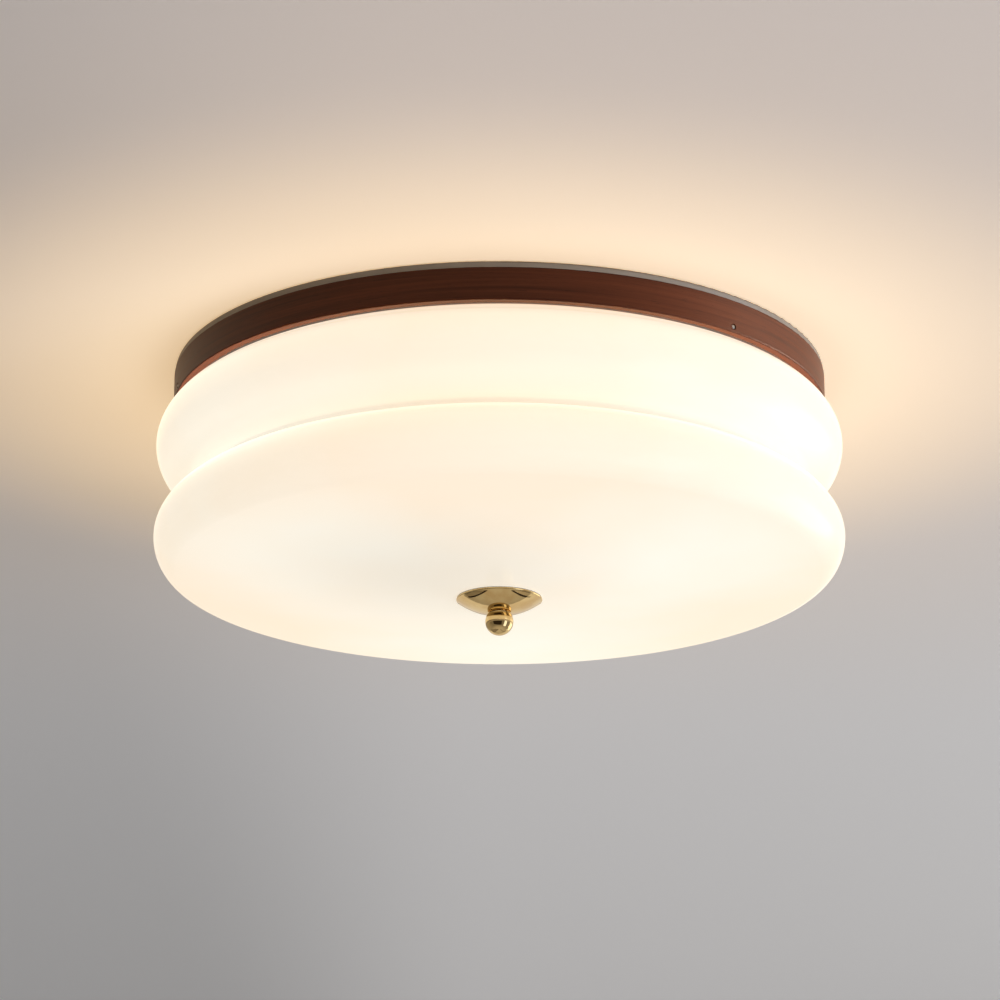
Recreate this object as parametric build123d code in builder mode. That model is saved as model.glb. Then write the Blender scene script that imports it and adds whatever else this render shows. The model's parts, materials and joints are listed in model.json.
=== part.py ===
from build123d import *
import os
from math import acos, asin, atan, cos, degrees, radians, sin, sqrt, tan

# Flush ceiling light: a grey enamelled pan with a walnut hoop, and under it a two-tier opal glass
# shade that a brass dish and knob hold up on a central rod. Three screw-in bulbs light it.
# Millimetres and degrees. The ceiling is the plane z = 0 and the light hangs below it.

os.makedirs("parts", exist_ok=True)

# Walnut ring
ring_radius = 200.0
ring_height = 20.0
ring_wall = 5.5
ring_edge_round = 0.8
ring_screw_count = 3
ring_screw_azimuth = -47.0
ring_screw_edge_gap = 3.5
ring_screw_head_radius = 1.7
ring_screw_head_height = 1.0
ring_screw_radius = 1.2
ring_screw_length = 9.5
ring_tab_sheet = 1.5
ring_tab_width = 20.0
ring_tab_foot = 9.0
ring_tab_edge_gap = 1.8

# Base pan
pan_sheet = 1.0
pan_setback = 0.6
pan_lip = 4.0
pan_bend = 0.6
pan_recess_depth = 12.0
pan_recess_radius = 70.0
pan_recess_slope = 50.0
pan_bead_radius = 138.0
pan_bead_width = 12.0
pan_bead_depth = 1.6

# Ceiling crossbar and the studs that the pan hangs on
bar_sheet = 1.5
bar_width = 20.0
bar_middle = 66.0
bar_step_run = 5.0
bar_step_drop = 5.0
bar_end = 24.0
bar_slot_spacing = 40.0
bar_slot_length = 16.0
bar_slot_width = 4.8
bar_centre_hole_radius = 6.0
bar_corner_round = 5.0
stud_spacing = 100.0
stud_radius = 2.0
stud_head_radius = 4.0
stud_head_height = 2.4
stud_reach = 4.5
stud_washer_radius = 4.5
stud_washer_sheet = 0.8
cap_nut_flats = 7.0
cap_nut_hex_height = 3.2
cap_nut_height = 8.0
cap_nut_tip_flat = 0.2
nut_sides = 6

# Centre rod, its washers and lock nuts
rod_radius = 4.0
rod_top_reach = 1.4
rod_washer_radius = 8.0
rod_washer_sheet = 1.6
rod_nut_flats = 13.0
rod_nut_height = 4.0
rod_end_chamfer = 0.6

# Opal glass shade
shade_wall = 3.0
shade_rim_gap = 3.0
shade_neck_gap = 14.5
shade_ring_gap = 0.23
upper_bulge_overhang = 9.9
upper_bulge_inset = 5.7
upper_bulge_half_height = 30.2
groove_step = 4.5
groove_height = 2.84
groove_round = 1.2
lower_bulge_overhang = 10.1
lower_bulge_swell = 40.9
lower_bulge_half_height = 28.5
base_round_width = 16.3
base_round_height = 20.6
dome_edge_slope = 8.2
shade_flat_radius = 30.0
shade_hole_radius = 7.0

# Silicone pieces
rim_gasket_wall = 1.8
rim_gasket_skirt = 5.0
bush_flange_radius = 11.0
bush_flange_height = 2.0
dish_gasket_width = 2.2
dish_gasket_height = 0.5

# Brass dish and knob
dish_radius = 26.15
dish_depth = 9.3
dish_wall = 0.9
dish_lip = 0.8
dish_seat_radius = 7.3
knob_radius = 8.6
knob_neck_radius = 6.3
knob_neck_height = 0.9
knob_centre_drop = 5.4
knob_thread_depth = 10.9
knob_end_gap = 0.7

# Lamp holders and their brackets
lamp_count = 3
lamp_azimuth = 90.0
lamp_level = -62.0
bracket_sheet = 1.5
bracket_width = 18.0
bracket_foot = 30.0
bracket_leg_below = 13.0
bracket_screw_setback = 19.5
bracket_screw_radius = 2.0
bracket_screw_head_radius = 3.8
bracket_screw_head_height = 2.2
bracket_nut_flats = 7.0
bracket_nut_height = 3.2
holder_back = 22.0
holder_length = 46.0
holder_back_radius = 18.5
holder_front_radius = 20.5
holder_step = 19.0
holder_bore_radius = 14.6
holder_floor = 12.0
holder_edge_round = 2.0
holder_wire_hole_radius = 1.4
holder_wire_hole_offset = 11.0
holder_screw_offset = 9.0
holder_screw_radius = 1.4
holder_screw_head_radius = 2.7
holder_screw_head_height = 1.8
holder_screw_bite = 8.0
sleeve_wall = 0.5
sleeve_length = 22.0
sleeve_mouth_gap = 6.0
contact_sheet = 0.6
contact_width = 6.0
contact_length = 12.0
contact_rise = 4.0

# Bulbs
bulb_tip_gap = 0.4
bulb_tip_radius = 4.5
bulb_tip_height = 1.5
bulb_foot_height = 3.0
bulb_foot_radius = 11.0
bulb_cap_radius = 13.2
bulb_cap_wall = 0.6
bulb_cap_length = 21.0
bulb_neck_radius = 14.0
bulb_neck_length = 6.0
bulb_housing_radius = 28.0
bulb_flare_slope = 0.1
bulb_globe_radius = 30.0
bulb_globe_wall = 1.5
bulb_globe_side = 8.5
bulb_length = 108.0

# Terminal block, earth screw and cable entry
block_poles = 3
block_pitch = 11.0
block_depth = 17.0
block_height = 15.0
block_base_height = 5.0
block_tower_depth = 9.0
block_gap = 1.2
block_centre = -52.0
block_wire_radius = 2.2
block_screw_radius = 1.6
block_fixing_radius = 1.4
block_fixing_head_radius = 2.6
block_fixing_head_height = 1.6
earth_azimuth = 150.0
earth_distance = 52.0
earth_screw_radius = 2.0
earth_screw_length = 12.0
earth_head_radius = 4.0
earth_head_height = 2.6
earth_washer_radius = 5.0
earth_washer_sheet = 1.0
grommet_centre = -27.0
grommet_bore_radius = 5.0
grommet_neck_radius = 7.5
grommet_flange_radius = 9.5
grommet_flange_height = 1.5

# Leads from the terminal block to the lamp holders
lead_radius = 0.9
lead_grip = 6.0
lead_setback = 6.0
lead_bend = 5.0
lead_swing_bend = 12.0
lead_entry_bend = 10.0
lead_straight = 7.5
lead_stop = 1.0
lead_fan = 0.95
lead_stack_up = 0.92
lead_stack_down = 0.7
lead_rod_distance = 16.5
lead_leg_pass = 10.0
lead_high_drop = 5.0
lead_low_drop = 8.5
lead_cross_drop = 10.5
lead_deep_drop = 16.0

# Clearances
hole_clearance = 0.2
seat_clearance = 0.1
thread_clearance = 0.1
moving_clearance = 0.3
knob_seat_gap = 0.15

# Levels and radii that follow from the sizes above
ring_top = -pan_lip
ring_bottom = ring_top - ring_height
ring_bore_radius = ring_radius - ring_wall
ring_screw_level = ring_bottom + ring_screw_edge_gap
ring_screw_azimuths = [ring_screw_azimuth + 360 / ring_screw_count * n for n in range(ring_screw_count)]
ring_tab_face = sqrt(ring_bore_radius**2 - (ring_tab_width / 2) ** 2) - seat_clearance

pan_radius = ring_radius - pan_setback
pan_under = -pan_sheet
recess_run = pan_recess_depth / tan(radians(pan_recess_slope))
recess_shift = pan_sheet * tan(radians(pan_recess_slope) / 2)
floor_top = -pan_recess_depth
floor_under = floor_top - pan_sheet

bar_end_top = -bar_step_drop
bar_end_under = bar_end_top - bar_sheet
bar_half = bar_middle / 2 + bar_step_run + bar_end

rim_level = pan_under - shade_rim_gap
shade_neck_radius = ring_bore_radius - shade_neck_gap
groove_radius = shade_neck_radius + groove_step
upper_bulge_radius = ring_radius + upper_bulge_overhang
lower_bulge_radius = ring_radius + lower_bulge_overhang
upper_centre = shade_neck_radius - upper_bulge_inset
upper_bulge_swell = upper_bulge_radius - upper_centre
lower_centre = lower_bulge_radius - lower_bulge_swell


def bulge_rise(radius, centre, swell, half_height):
    """Height above its middle at which a bulge's ellipse passes a given radius."""
    return half_height * sqrt(1 - ((radius - centre) / swell) ** 2)


ring_rise = bulge_rise(ring_bore_radius, upper_centre, upper_bulge_swell, upper_bulge_half_height)
upper_bulge_level = ring_bottom - shade_ring_gap - ring_rise
groove_fall = bulge_rise(groove_radius, upper_centre, upper_bulge_swell, upper_bulge_half_height)
groove_rise = bulge_rise(groove_radius, lower_centre, lower_bulge_swell, lower_bulge_half_height)
lower_bulge_level = upper_bulge_level - groove_fall - groove_height - groove_rise
base_centre = lower_bulge_radius - base_round_width
base_angle = degrees(atan(base_round_height / (base_round_width * tan(radians(dome_edge_slope)))))
dome_edge_radius = base_centre + base_round_width * cos(radians(base_angle))
dome_edge_level = lower_bulge_level - base_round_height * sin(radians(base_angle))
dome_radius = dome_edge_radius / sin(radians(dome_edge_slope))
dome_centre_level = dome_edge_level + dome_radius * cos(radians(dome_edge_slope))
shade_under = dome_centre_level - sqrt(dome_radius**2 - shade_flat_radius**2)
shade_floor = dome_centre_level - sqrt((dome_radius - shade_wall) ** 2 - shade_flat_radius**2)

dish_rim_level = shade_under - dish_gasket_height
dish_bottom = dish_rim_level - dish_depth
dish_cap_radius = ((dish_radius**2 + (dish_depth - dish_lip) ** 2) / (2 * (dish_depth - dish_lip)))
dish_centre_level = dish_bottom + dish_cap_radius
dish_seat_level = dish_centre_level - sqrt(dish_cap_radius**2 - dish_seat_radius**2)
rod_hole_radius = rod_radius + moving_clearance
knob_top = dish_seat_level - knob_seat_gap
knob_centre_level = knob_top - knob_centre_drop
knob_thread_end = knob_top - knob_thread_depth
rod_bottom = knob_thread_end + knob_end_gap
rod_top = floor_top + rod_washer_sheet + rod_nut_height + rod_top_reach

lamp_azimuths = [lamp_azimuth + 360 / lamp_count * n for n in range(lamp_count)]
leg_inner = holder_back - bracket_sheet
foot_under = floor_under - bracket_sheet
bracket_screw_distance = leg_inner + bracket_screw_setback
holder_mouth = holder_back + holder_length
holder_floor_face = holder_back + holder_floor
sleeve_outer_radius = holder_bore_radius - seat_clearance
sleeve_front = holder_mouth - sleeve_mouth_gap
bulb_tip = holder_floor_face + contact_sheet + contact_rise + bulb_tip_gap
bulb_foot_start = bulb_tip + bulb_tip_height
bulb_cap_start = bulb_foot_start + bulb_foot_height
bulb_housing_start = bulb_cap_start + bulb_cap_length
bulb_flare_start = bulb_housing_start + bulb_neck_length
bulb_end = bulb_tip + bulb_length
bulb_globe_centre = bulb_end - bulb_globe_radius
bulb_globe_start = bulb_globe_centre - bulb_globe_side

block_width = block_poles * block_pitch
block_under = floor_under - block_height
block_fixing_spacing = block_pitch
terminal_level = floor_under - block_base_height - block_wire_radius


def save(piece, name):
    """Label a finished piece and write it under its own name."""
    piece.part.label = name
    export_step(piece.part, f"parts/{name}.step")


def radial_plane(azimuth, distance, level):
    """Plane that faces outwards at one azimuth, distance and level."""
    outward = Vector(cos(radians(azimuth)), sin(radians(azimuth)), 0)
    return Plane(origin=outward * distance + Vector(0, 0, level), x_dir=(0, 0, 1), z_dir=outward)


def side_plane(azimuth, level=0.0):
    """Upright plane through the light's axis, with x outwards along the azimuth and y upwards."""
    outward = Vector(cos(radians(azimuth)), sin(radians(azimuth)), 0)
    across = Vector(sin(radians(azimuth)), -cos(radians(azimuth)), 0)
    return Plane(origin=(0, 0, level), x_dir=outward, z_dir=across)


def lamp_axis(azimuth):
    """Axis of one lamp, which lies level and points outwards."""
    return Axis((0, 0, lamp_level), (cos(radians(azimuth)), sin(radians(azimuth)), 0))


def lead_riser(azimuth, side, drop):
    """First points of a lead: in the holder's back, behind it, and up to a level under the pan."""
    lamp = radial_plane(azimuth, 0, lamp_level)
    across = side * holder_wire_hole_offset
    behind = holder_back - lead_setback
    return [
        lamp.from_local_coords((0, across, holder_back + lead_grip)),
        lamp.from_local_coords((0, across, behind)),
        lamp.from_local_coords((floor_under - drop - lamp_level, across, behind)),
    ]


def lead_end(x, level):
    """Last points of a lead: in line with its terminal, and at the clamp screw."""
    return [
        Vector(x, block_centre + block_tower_depth / 2 + lead_straight, level),
        Vector(x, block_centre + lead_stop, level),
    ]


def ellipse_angle(radius, centre, swell):
    """Parameter angle at which a bulge's ellipse passes a given radius."""
    return degrees(acos((radius - centre) / swell))


# Base pan: turned-down lip, flat, pressed bead, and a recess that houses the crossbar
with BuildPart() as base_pan:
    with BuildSketch(Plane.XZ) as pan_section:
        with BuildLine():
            Polyline(
                (rod_radius + hole_clearance, floor_top),
                (pan_recess_radius, floor_top),
                (pan_recess_radius + recess_run, 0),
                (pan_radius, 0),
                (pan_radius, -pan_lip),
                (pan_radius - pan_sheet, -pan_lip),
                (pan_radius - pan_sheet, pan_under),
                (pan_recess_radius + recess_run + recess_shift, pan_under),
                (pan_recess_radius + recess_shift, floor_under),
                (rod_radius + hole_clearance, floor_under),
                close=True,
            )
        make_face()
        lip_corners = pan_section.vertices()
        fillet(lip_corners.sort_by_distance((pan_radius, 0))[0], pan_bend + pan_sheet)
        fillet(lip_corners.sort_by_distance((pan_radius - pan_sheet, pan_under))[0], pan_bend)
    revolve(axis=Axis.Z)
    with BuildSketch(Plane.XZ):
        with Locations((pan_bead_radius, -pan_bead_depth / 2)):
            Trapezoid(pan_bead_width, pan_bead_depth, pan_recess_slope, rotation=180)
    revolve(axis=Axis.Z, mode=Mode.SUBTRACT)
    with BuildSketch(Plane.XZ):
        with Locations((pan_bead_radius, pan_under - pan_bead_depth / 2)):
            Trapezoid(pan_bead_width, pan_bead_depth, pan_recess_slope, rotation=180)
        with Locations((pan_bead_radius, -pan_bead_depth / 2)):
            Trapezoid(pan_bead_width, pan_bead_depth, pan_recess_slope, rotation=180, mode=Mode.SUBTRACT)
    revolve(axis=Axis.Z)
    with BuildSketch(Plane.XY.offset(floor_under)):
        with Locations((-stud_spacing / 2, 0), (stud_spacing / 2, 0)):
            Circle(stud_radius + hole_clearance)
        with PolarLocations(bracket_screw_distance, lamp_count, lamp_azimuth):
            Circle(bracket_screw_radius + hole_clearance)
        with Locations((0, grommet_centre)):
            Circle(grommet_neck_radius + seat_clearance)
        with Locations((-block_fixing_spacing / 2, block_centre), (block_fixing_spacing / 2, block_centre)):
            Circle(block_fixing_radius + hole_clearance)
        with PolarLocations(earth_distance, 1, earth_azimuth):
            Circle(earth_screw_radius + hole_clearance)
    extrude(amount=pan_sheet, mode=Mode.SUBTRACT)
save(base_pan, "base_pan")

# Walnut ring: a plain hoop with eased edges and three counterbored screw holes
with BuildPart() as walnut_ring:
    with BuildSketch(Plane.XZ) as hoop_section:
        with Locations((ring_radius - ring_wall / 2, ring_top - ring_height / 2)):
            Rectangle(ring_wall, ring_height)
        fillet(hoop_section.vertices(), ring_edge_round)
    revolve(axis=Axis.Z)
    for azimuth in ring_screw_azimuths:
        with BuildSketch(radial_plane(azimuth, ring_radius, ring_screw_level)):
            Circle(ring_screw_head_radius + seat_clearance)
        extrude(amount=-ring_screw_head_height, mode=Mode.SUBTRACT)
        with BuildSketch(radial_plane(azimuth, ring_radius, ring_screw_level)):
            Circle(ring_screw_radius + hole_clearance)
        extrude(amount=-2 * ring_wall, mode=Mode.SUBTRACT)
save(walnut_ring, "walnut_ring")

# Ring tabs: bent strips under the pan that the ring is screwed to
with BuildPart() as ring_tabs:
    for azimuth in ring_screw_azimuths:
        with BuildSketch(side_plane(azimuth)) as tab_section:
            with BuildLine():
                Polyline(
                    (ring_tab_face, pan_under),
                    (ring_tab_face, ring_bottom + ring_tab_edge_gap),
                    (ring_tab_face - ring_tab_sheet, ring_bottom + ring_tab_edge_gap),
                    (ring_tab_face - ring_tab_sheet, pan_under - ring_tab_sheet),
                    (ring_tab_face - ring_tab_foot, pan_under - ring_tab_sheet),
                    (ring_tab_face - ring_tab_foot, pan_under),
                    close=True,
                )
            make_face()
            bend = tab_section.vertices().sort_by_distance((ring_tab_face, pan_under))[0]
            fillet(bend, ring_tab_sheet)
        extrude(amount=ring_tab_width / 2, both=True)
        with BuildSketch(radial_plane(azimuth, ring_tab_face, ring_screw_level)):
            Circle(ring_screw_radius + thread_clearance)
        extrude(amount=-ring_tab_sheet, mode=Mode.SUBTRACT)
save(ring_tabs, "ring_tabs")

with BuildPart() as ring_screws:
    for azimuth in ring_screw_azimuths:
        with BuildSketch(radial_plane(azimuth, ring_radius, ring_screw_level)):
            Circle(ring_screw_head_radius)
        extrude(amount=-ring_screw_head_height)
        with BuildSketch(radial_plane(azimuth, ring_radius - ring_screw_head_height, ring_screw_level)):
            Circle(ring_screw_radius)
        extrude(amount=-(ring_screw_length - ring_screw_head_height))
save(ring_screws, "ring_screws")

# Ceiling crossbar: the middle lies on the ceiling, the stepped ends leave room for the stud heads
with BuildPart() as ceiling_crossbar:
    with BuildSketch(Plane.XZ):
        with BuildLine() as bar_line:
            Polyline(
                (0, 0),
                (bar_middle / 2, 0),
                (bar_middle / 2 + bar_step_run, bar_end_top),
                (bar_half, bar_end_top),
                (bar_half, bar_end_under),
                (bar_middle / 2 + bar_step_run - bar_sheet / 2, bar_end_under),
                (bar_middle / 2 - bar_sheet / 2, -bar_sheet),
                (0, -bar_sheet),
            )
            mirror(about=Plane.YZ)
        make_face()
    extrude(amount=bar_width / 2, both=True)
    fillet(
        ceiling_crossbar.edges().filter_by(Axis.Z).group_by(Axis.X)[0]
        + ceiling_crossbar.edges().filter_by(Axis.Z).group_by(Axis.X)[-1],
        bar_corner_round,
    )
    with BuildSketch(Plane.XY.offset(bar_end_under)):
        Circle(bar_centre_hole_radius)
        with Locations((-bar_slot_spacing / 2, 0), (bar_slot_spacing / 2, 0)):
            SlotOverall(bar_slot_length, bar_slot_width)
        with Locations((-stud_spacing / 2, 0), (stud_spacing / 2, 0)):
            Circle(stud_radius + thread_clearance)
    extrude(amount=-bar_end_under, mode=Mode.SUBTRACT)
save(ceiling_crossbar, "ceiling_crossbar")

stud_end = floor_under - stud_washer_sheet - stud_reach
with BuildPart() as crossbar_studs:
    with BuildSketch(Plane.XY.offset(bar_end_top)):
        with Locations((-stud_spacing / 2, 0), (stud_spacing / 2, 0)):
            Circle(stud_head_radius)
    extrude(amount=stud_head_height)
    fillet(crossbar_studs.faces().group_by(Axis.Z)[-1].edges(), stud_head_height / 2)
    with BuildSketch(Plane.XY.offset(bar_end_top)):
        with Locations((-stud_spacing / 2, 0), (stud_spacing / 2, 0)):
            Circle(stud_radius)
    extrude(amount=stud_end - bar_end_top)
save(crossbar_studs, "crossbar_studs")

with BuildPart() as stud_washers:
    with BuildSketch(Plane.XY.offset(floor_under)):
        with Locations((-stud_spacing / 2, 0), (stud_spacing / 2, 0)):
            Circle(stud_washer_radius)
            Circle(stud_radius + hole_clearance, mode=Mode.SUBTRACT)
    extrude(amount=-stud_washer_sheet)
save(stud_washers, "stud_washers")

# Cap nuts: a hexagon with a domed, closed end
cap_nut_top = floor_under - stud_washer_sheet
cap_dome_radius = cap_nut_flats / 2
with BuildPart() as stud_cap_nuts:
    with BuildSketch(Plane.XY.offset(cap_nut_top)):
        with Locations((-stud_spacing / 2, 0), (stud_spacing / 2, 0)):
            RegularPolygon(cap_nut_flats / 2, nut_sides, major_radius=False)
    extrude(amount=-cap_nut_hex_height)
    with BuildSketch(Plane.XY.offset(cap_nut_top - cap_nut_hex_height)):
        with Locations((-stud_spacing / 2, 0), (stud_spacing / 2, 0)):
            Circle(cap_dome_radius)
    extrude(amount=-(cap_nut_height - cap_nut_hex_height))
    fillet(stud_cap_nuts.faces().group_by(Axis.Z)[0].edges(), cap_dome_radius - cap_nut_tip_flat)
    with BuildSketch(Plane.XY.offset(cap_nut_top)):
        with Locations((-stud_spacing / 2, 0), (stud_spacing / 2, 0)):
            Circle(stud_radius + thread_clearance)
    extrude(amount=-(stud_reach + seat_clearance), mode=Mode.SUBTRACT)
save(stud_cap_nuts, "stud_cap_nuts")

# Centre rod with a washer and a lock nut on each side of the pan's floor
with BuildPart() as centre_rod:
    with BuildSketch(Plane.XY.offset(rod_bottom)):
        Circle(rod_radius)
    extrude(amount=rod_top - rod_bottom)
    chamfer(centre_rod.edges().filter_by(GeomType.CIRCLE), rod_end_chamfer)
save(centre_rod, "centre_rod")

with BuildPart() as rod_washers:
    for level in (floor_top, floor_under - rod_washer_sheet):
        with BuildSketch(Plane.XY.offset(level)):
            Circle(rod_washer_radius)
            Circle(rod_radius + hole_clearance, mode=Mode.SUBTRACT)
        extrude(amount=rod_washer_sheet)
save(rod_washers, "rod_washers")

with BuildPart() as rod_nuts:
    for level in (floor_top + rod_washer_sheet, floor_under - rod_washer_sheet - rod_nut_height):
        with BuildSketch(Plane.XY.offset(level)):
            RegularPolygon(rod_nut_flats / 2, nut_sides, major_radius=False)
            Circle(rod_radius + thread_clearance, mode=Mode.SUBTRACT)
        extrude(amount=rod_nut_height)
save(rod_nuts, "rod_nuts")

# Opal glass shade: neck, upper bulge, groove, lower bulge, rounded foot and shallow dome
with BuildPart() as opal_glass_shade:
    with BuildSketch(Plane.XZ) as shade_section:
        with BuildLine():
            top_angle = ellipse_angle(shade_neck_radius, upper_centre, upper_bulge_swell)
            groove_angle = ellipse_angle(groove_radius, upper_centre, upper_bulge_swell)
            lower_angle = ellipse_angle(groove_radius, lower_centre, lower_bulge_swell)
            flat_angle = degrees(asin(shade_flat_radius / dome_radius))
            upper_out = EllipticalCenterArc(
                (upper_centre, upper_bulge_level),
                upper_bulge_swell,
                upper_bulge_half_height,
                top_angle,
                arc_size=-(top_angle + groove_angle),
            )
            lower_out = EllipticalCenterArc(
                (lower_centre, lower_bulge_level),
                lower_bulge_swell,
                lower_bulge_half_height,
                lower_angle,
                arc_size=-lower_angle,
            )
            base_out = EllipticalCenterArc(
                (base_centre, lower_bulge_level),
                base_round_width,
                base_round_height,
                0,
                arc_size=-base_angle,
            )
            dome_out = CenterArc(
                (0, dome_centre_level), dome_radius, dome_edge_slope - 90, flat_angle - dome_edge_slope
            )
            Line((shade_neck_radius, rim_level), upper_out @ 0)
            Line(upper_out @ 1, lower_out @ 0)
            Line(dome_out @ 1, (shade_hole_radius, shade_under))
            Line((shade_hole_radius, shade_under), (shade_hole_radius, shade_floor))

            inner_neck = shade_neck_radius - shade_wall
            inner_groove = groove_radius - shade_wall
            inner_dome = dome_radius - shade_wall
            upper_swell = upper_bulge_swell - shade_wall
            lower_swell = lower_bulge_swell - shade_wall
            top_angle_in = ellipse_angle(inner_neck, upper_centre, upper_swell)
            groove_angle_in = ellipse_angle(inner_groove, upper_centre, upper_swell)
            lower_angle_in = ellipse_angle(inner_groove, lower_centre, lower_swell)
            base_width_in = base_round_width - shade_wall
            base_height_in = base_round_height - shade_wall
            dome_in = CenterArc(
                (0, dome_centre_level),
                inner_dome,
                degrees(asin(shade_flat_radius / inner_dome)) - 90,
                dome_edge_slope - degrees(asin(shade_flat_radius / inner_dome)),
            )
            base_in = EllipticalCenterArc(
                (base_centre, lower_bulge_level),
                base_width_in,
                base_height_in,
                -base_angle,
                arc_size=base_angle,
            )
            lower_in = EllipticalCenterArc(
                (lower_centre, lower_bulge_level),
                lower_swell,
                lower_bulge_half_height - shade_wall,
                0,
                arc_size=lower_angle_in,
            )
            upper_in = EllipticalCenterArc(
                (upper_centre, upper_bulge_level),
                upper_swell,
                upper_bulge_half_height - shade_wall,
                -groove_angle_in,
                arc_size=groove_angle_in + top_angle_in,
            )
            Line((shade_hole_radius, shade_floor), dome_in @ 0)
            Line(dome_in @ 1, base_in @ 0)
            Line(lower_in @ 1, upper_in @ 0)
            Line(upper_in @ 1, (inner_neck, rim_level))
            Line((inner_neck, rim_level), (shade_neck_radius, rim_level))
        make_face()
        valley = shade_section.vertices()
        fillet(valley.sort_by_distance(upper_out @ 1)[0], groove_round)
        fillet(valley.sort_by_distance(lower_out @ 0)[0], groove_round)
        fillet(valley.sort_by_distance(upper_in @ 0)[0], groove_round + shade_wall / 2)
        fillet(valley.sort_by_distance(lower_in @ 1)[0], groove_round + shade_wall / 2)
        fillet(valley.sort_by_distance(upper_out @ 0)[0], groove_round)
        fillet(valley.sort_by_distance((shade_neck_radius, rim_level))[0], shade_wall / 3)
        fillet(valley.sort_by_distance((inner_neck, rim_level))[0], shade_wall / 3)
    revolve(axis=Axis.Z)
save(opal_glass_shade, "opal_glass_shade")

# Rim gasket: a channel pressed over the glass rim, which meets the pan
gasket_top = pan_under - moving_clearance
gasket_outer = shade_neck_radius + seat_clearance
gasket_inner = shade_neck_radius - shade_wall - seat_clearance
with BuildPart() as rim_gasket:
    with BuildSketch(Plane.XZ):
        with BuildLine():
            Polyline(
                (gasket_inner - rim_gasket_wall, gasket_top),
                (gasket_outer + rim_gasket_wall, gasket_top),
                (gasket_outer + rim_gasket_wall, rim_level - rim_gasket_skirt),
                (gasket_outer, rim_level - rim_gasket_skirt),
                (gasket_outer, rim_level + seat_clearance),
                (gasket_inner, rim_level + seat_clearance),
                (gasket_inner, rim_level - rim_gasket_skirt),
                (gasket_inner - rim_gasket_wall, rim_level - rim_gasket_skirt),
                close=True,
            )
        make_face()
    revolve(axis=Axis.Z)
save(rim_gasket, "rim_gasket")

# Shade bush: a silicone grommet that keeps the rod off the glass
with BuildPart() as shade_bush:
    with BuildSketch(Plane.XZ):
        with BuildLine():
            Polyline(
                (rod_hole_radius, shade_floor + bush_flange_height),
                (bush_flange_radius, shade_floor + bush_flange_height),
                (bush_flange_radius, shade_floor),
                (shade_hole_radius - seat_clearance, shade_floor),
                (shade_hole_radius - seat_clearance, shade_under),
                (bush_flange_radius, shade_under),
                (bush_flange_radius, shade_under - bush_flange_height),
                (rod_hole_radius, shade_under - bush_flange_height),
                close=True,
            )
        make_face()
    revolve(axis=Axis.Z)
save(shade_bush, "shade_bush")

# Brass dish: a spun cap with an upright lip, a flat seat for the knob, and a silicone ring under the lip
with BuildPart() as brass_dish:
    with BuildSketch(Plane.XZ) as dish_section:
        with BuildLine():
            inner_cap = dish_cap_radius - dish_wall
            inner_lip = dish_radius - dish_wall
            edge_angle = degrees(asin(dish_radius / dish_cap_radius))
            seat_angle = degrees(asin(dish_seat_radius / dish_cap_radius))
            edge_angle_in = degrees(asin(inner_lip / inner_cap))
            seat_angle_in = degrees(asin(dish_seat_radius / inner_cap))
            cap_out = CenterArc(
                (0, dish_centre_level), dish_cap_radius, edge_angle - 90, seat_angle - edge_angle
            )
            cap_in = CenterArc(
                (0, dish_centre_level), inner_cap, seat_angle_in - 90, edge_angle_in - seat_angle_in
            )
            Line((dish_radius, dish_rim_level), cap_out @ 0)
            Line(cap_out @ 1, (rod_hole_radius, dish_seat_level))
            Line((rod_hole_radius, dish_seat_level), (rod_hole_radius, (cap_in @ 0).Y))
            Line((rod_hole_radius, (cap_in @ 0).Y), cap_in @ 0)
            Line(cap_in @ 1, (inner_lip, dish_rim_level))
            Line((inner_lip, dish_rim_level), (dish_radius, dish_rim_level))
        make_face()
        fillet(dish_section.vertices().sort_by_distance(cap_out @ 0)[0], dish_lip / 2)
    revolve(axis=Axis.Z)
save(brass_dish, "brass_dish")

with BuildPart() as dish_gasket:
    with BuildSketch(Plane.XY.offset(dish_rim_level + seat_clearance / 2)):
        Circle(dish_radius - dish_wall / 4)
        Circle(dish_radius - dish_gasket_width, mode=Mode.SUBTRACT)
    extrude(amount=dish_gasket_height - seat_clearance)
save(dish_gasket, "dish_gasket")

# Brass knob: a ball on a short neck, bored for the rod's thread
with BuildPart() as brass_knob:
    with BuildSketch(Plane.XZ):
        with BuildLine():
            neck_level = knob_top - knob_neck_height
            shoulder = degrees(asin((neck_level - knob_centre_level) / knob_radius))
            ball = CenterArc((0, knob_centre_level), knob_radius, -90, 90 + shoulder)
            Polyline(
                ball @ 1,
                (knob_neck_radius, neck_level),
                (knob_neck_radius, knob_top),
                (rod_radius + thread_clearance, knob_top),
                (rod_radius + thread_clearance, knob_thread_end),
                (0, knob_thread_end),
                ball @ 0,
            )
        make_face()
    revolve(axis=Axis.Z)
save(brass_knob, "brass_knob")

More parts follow.
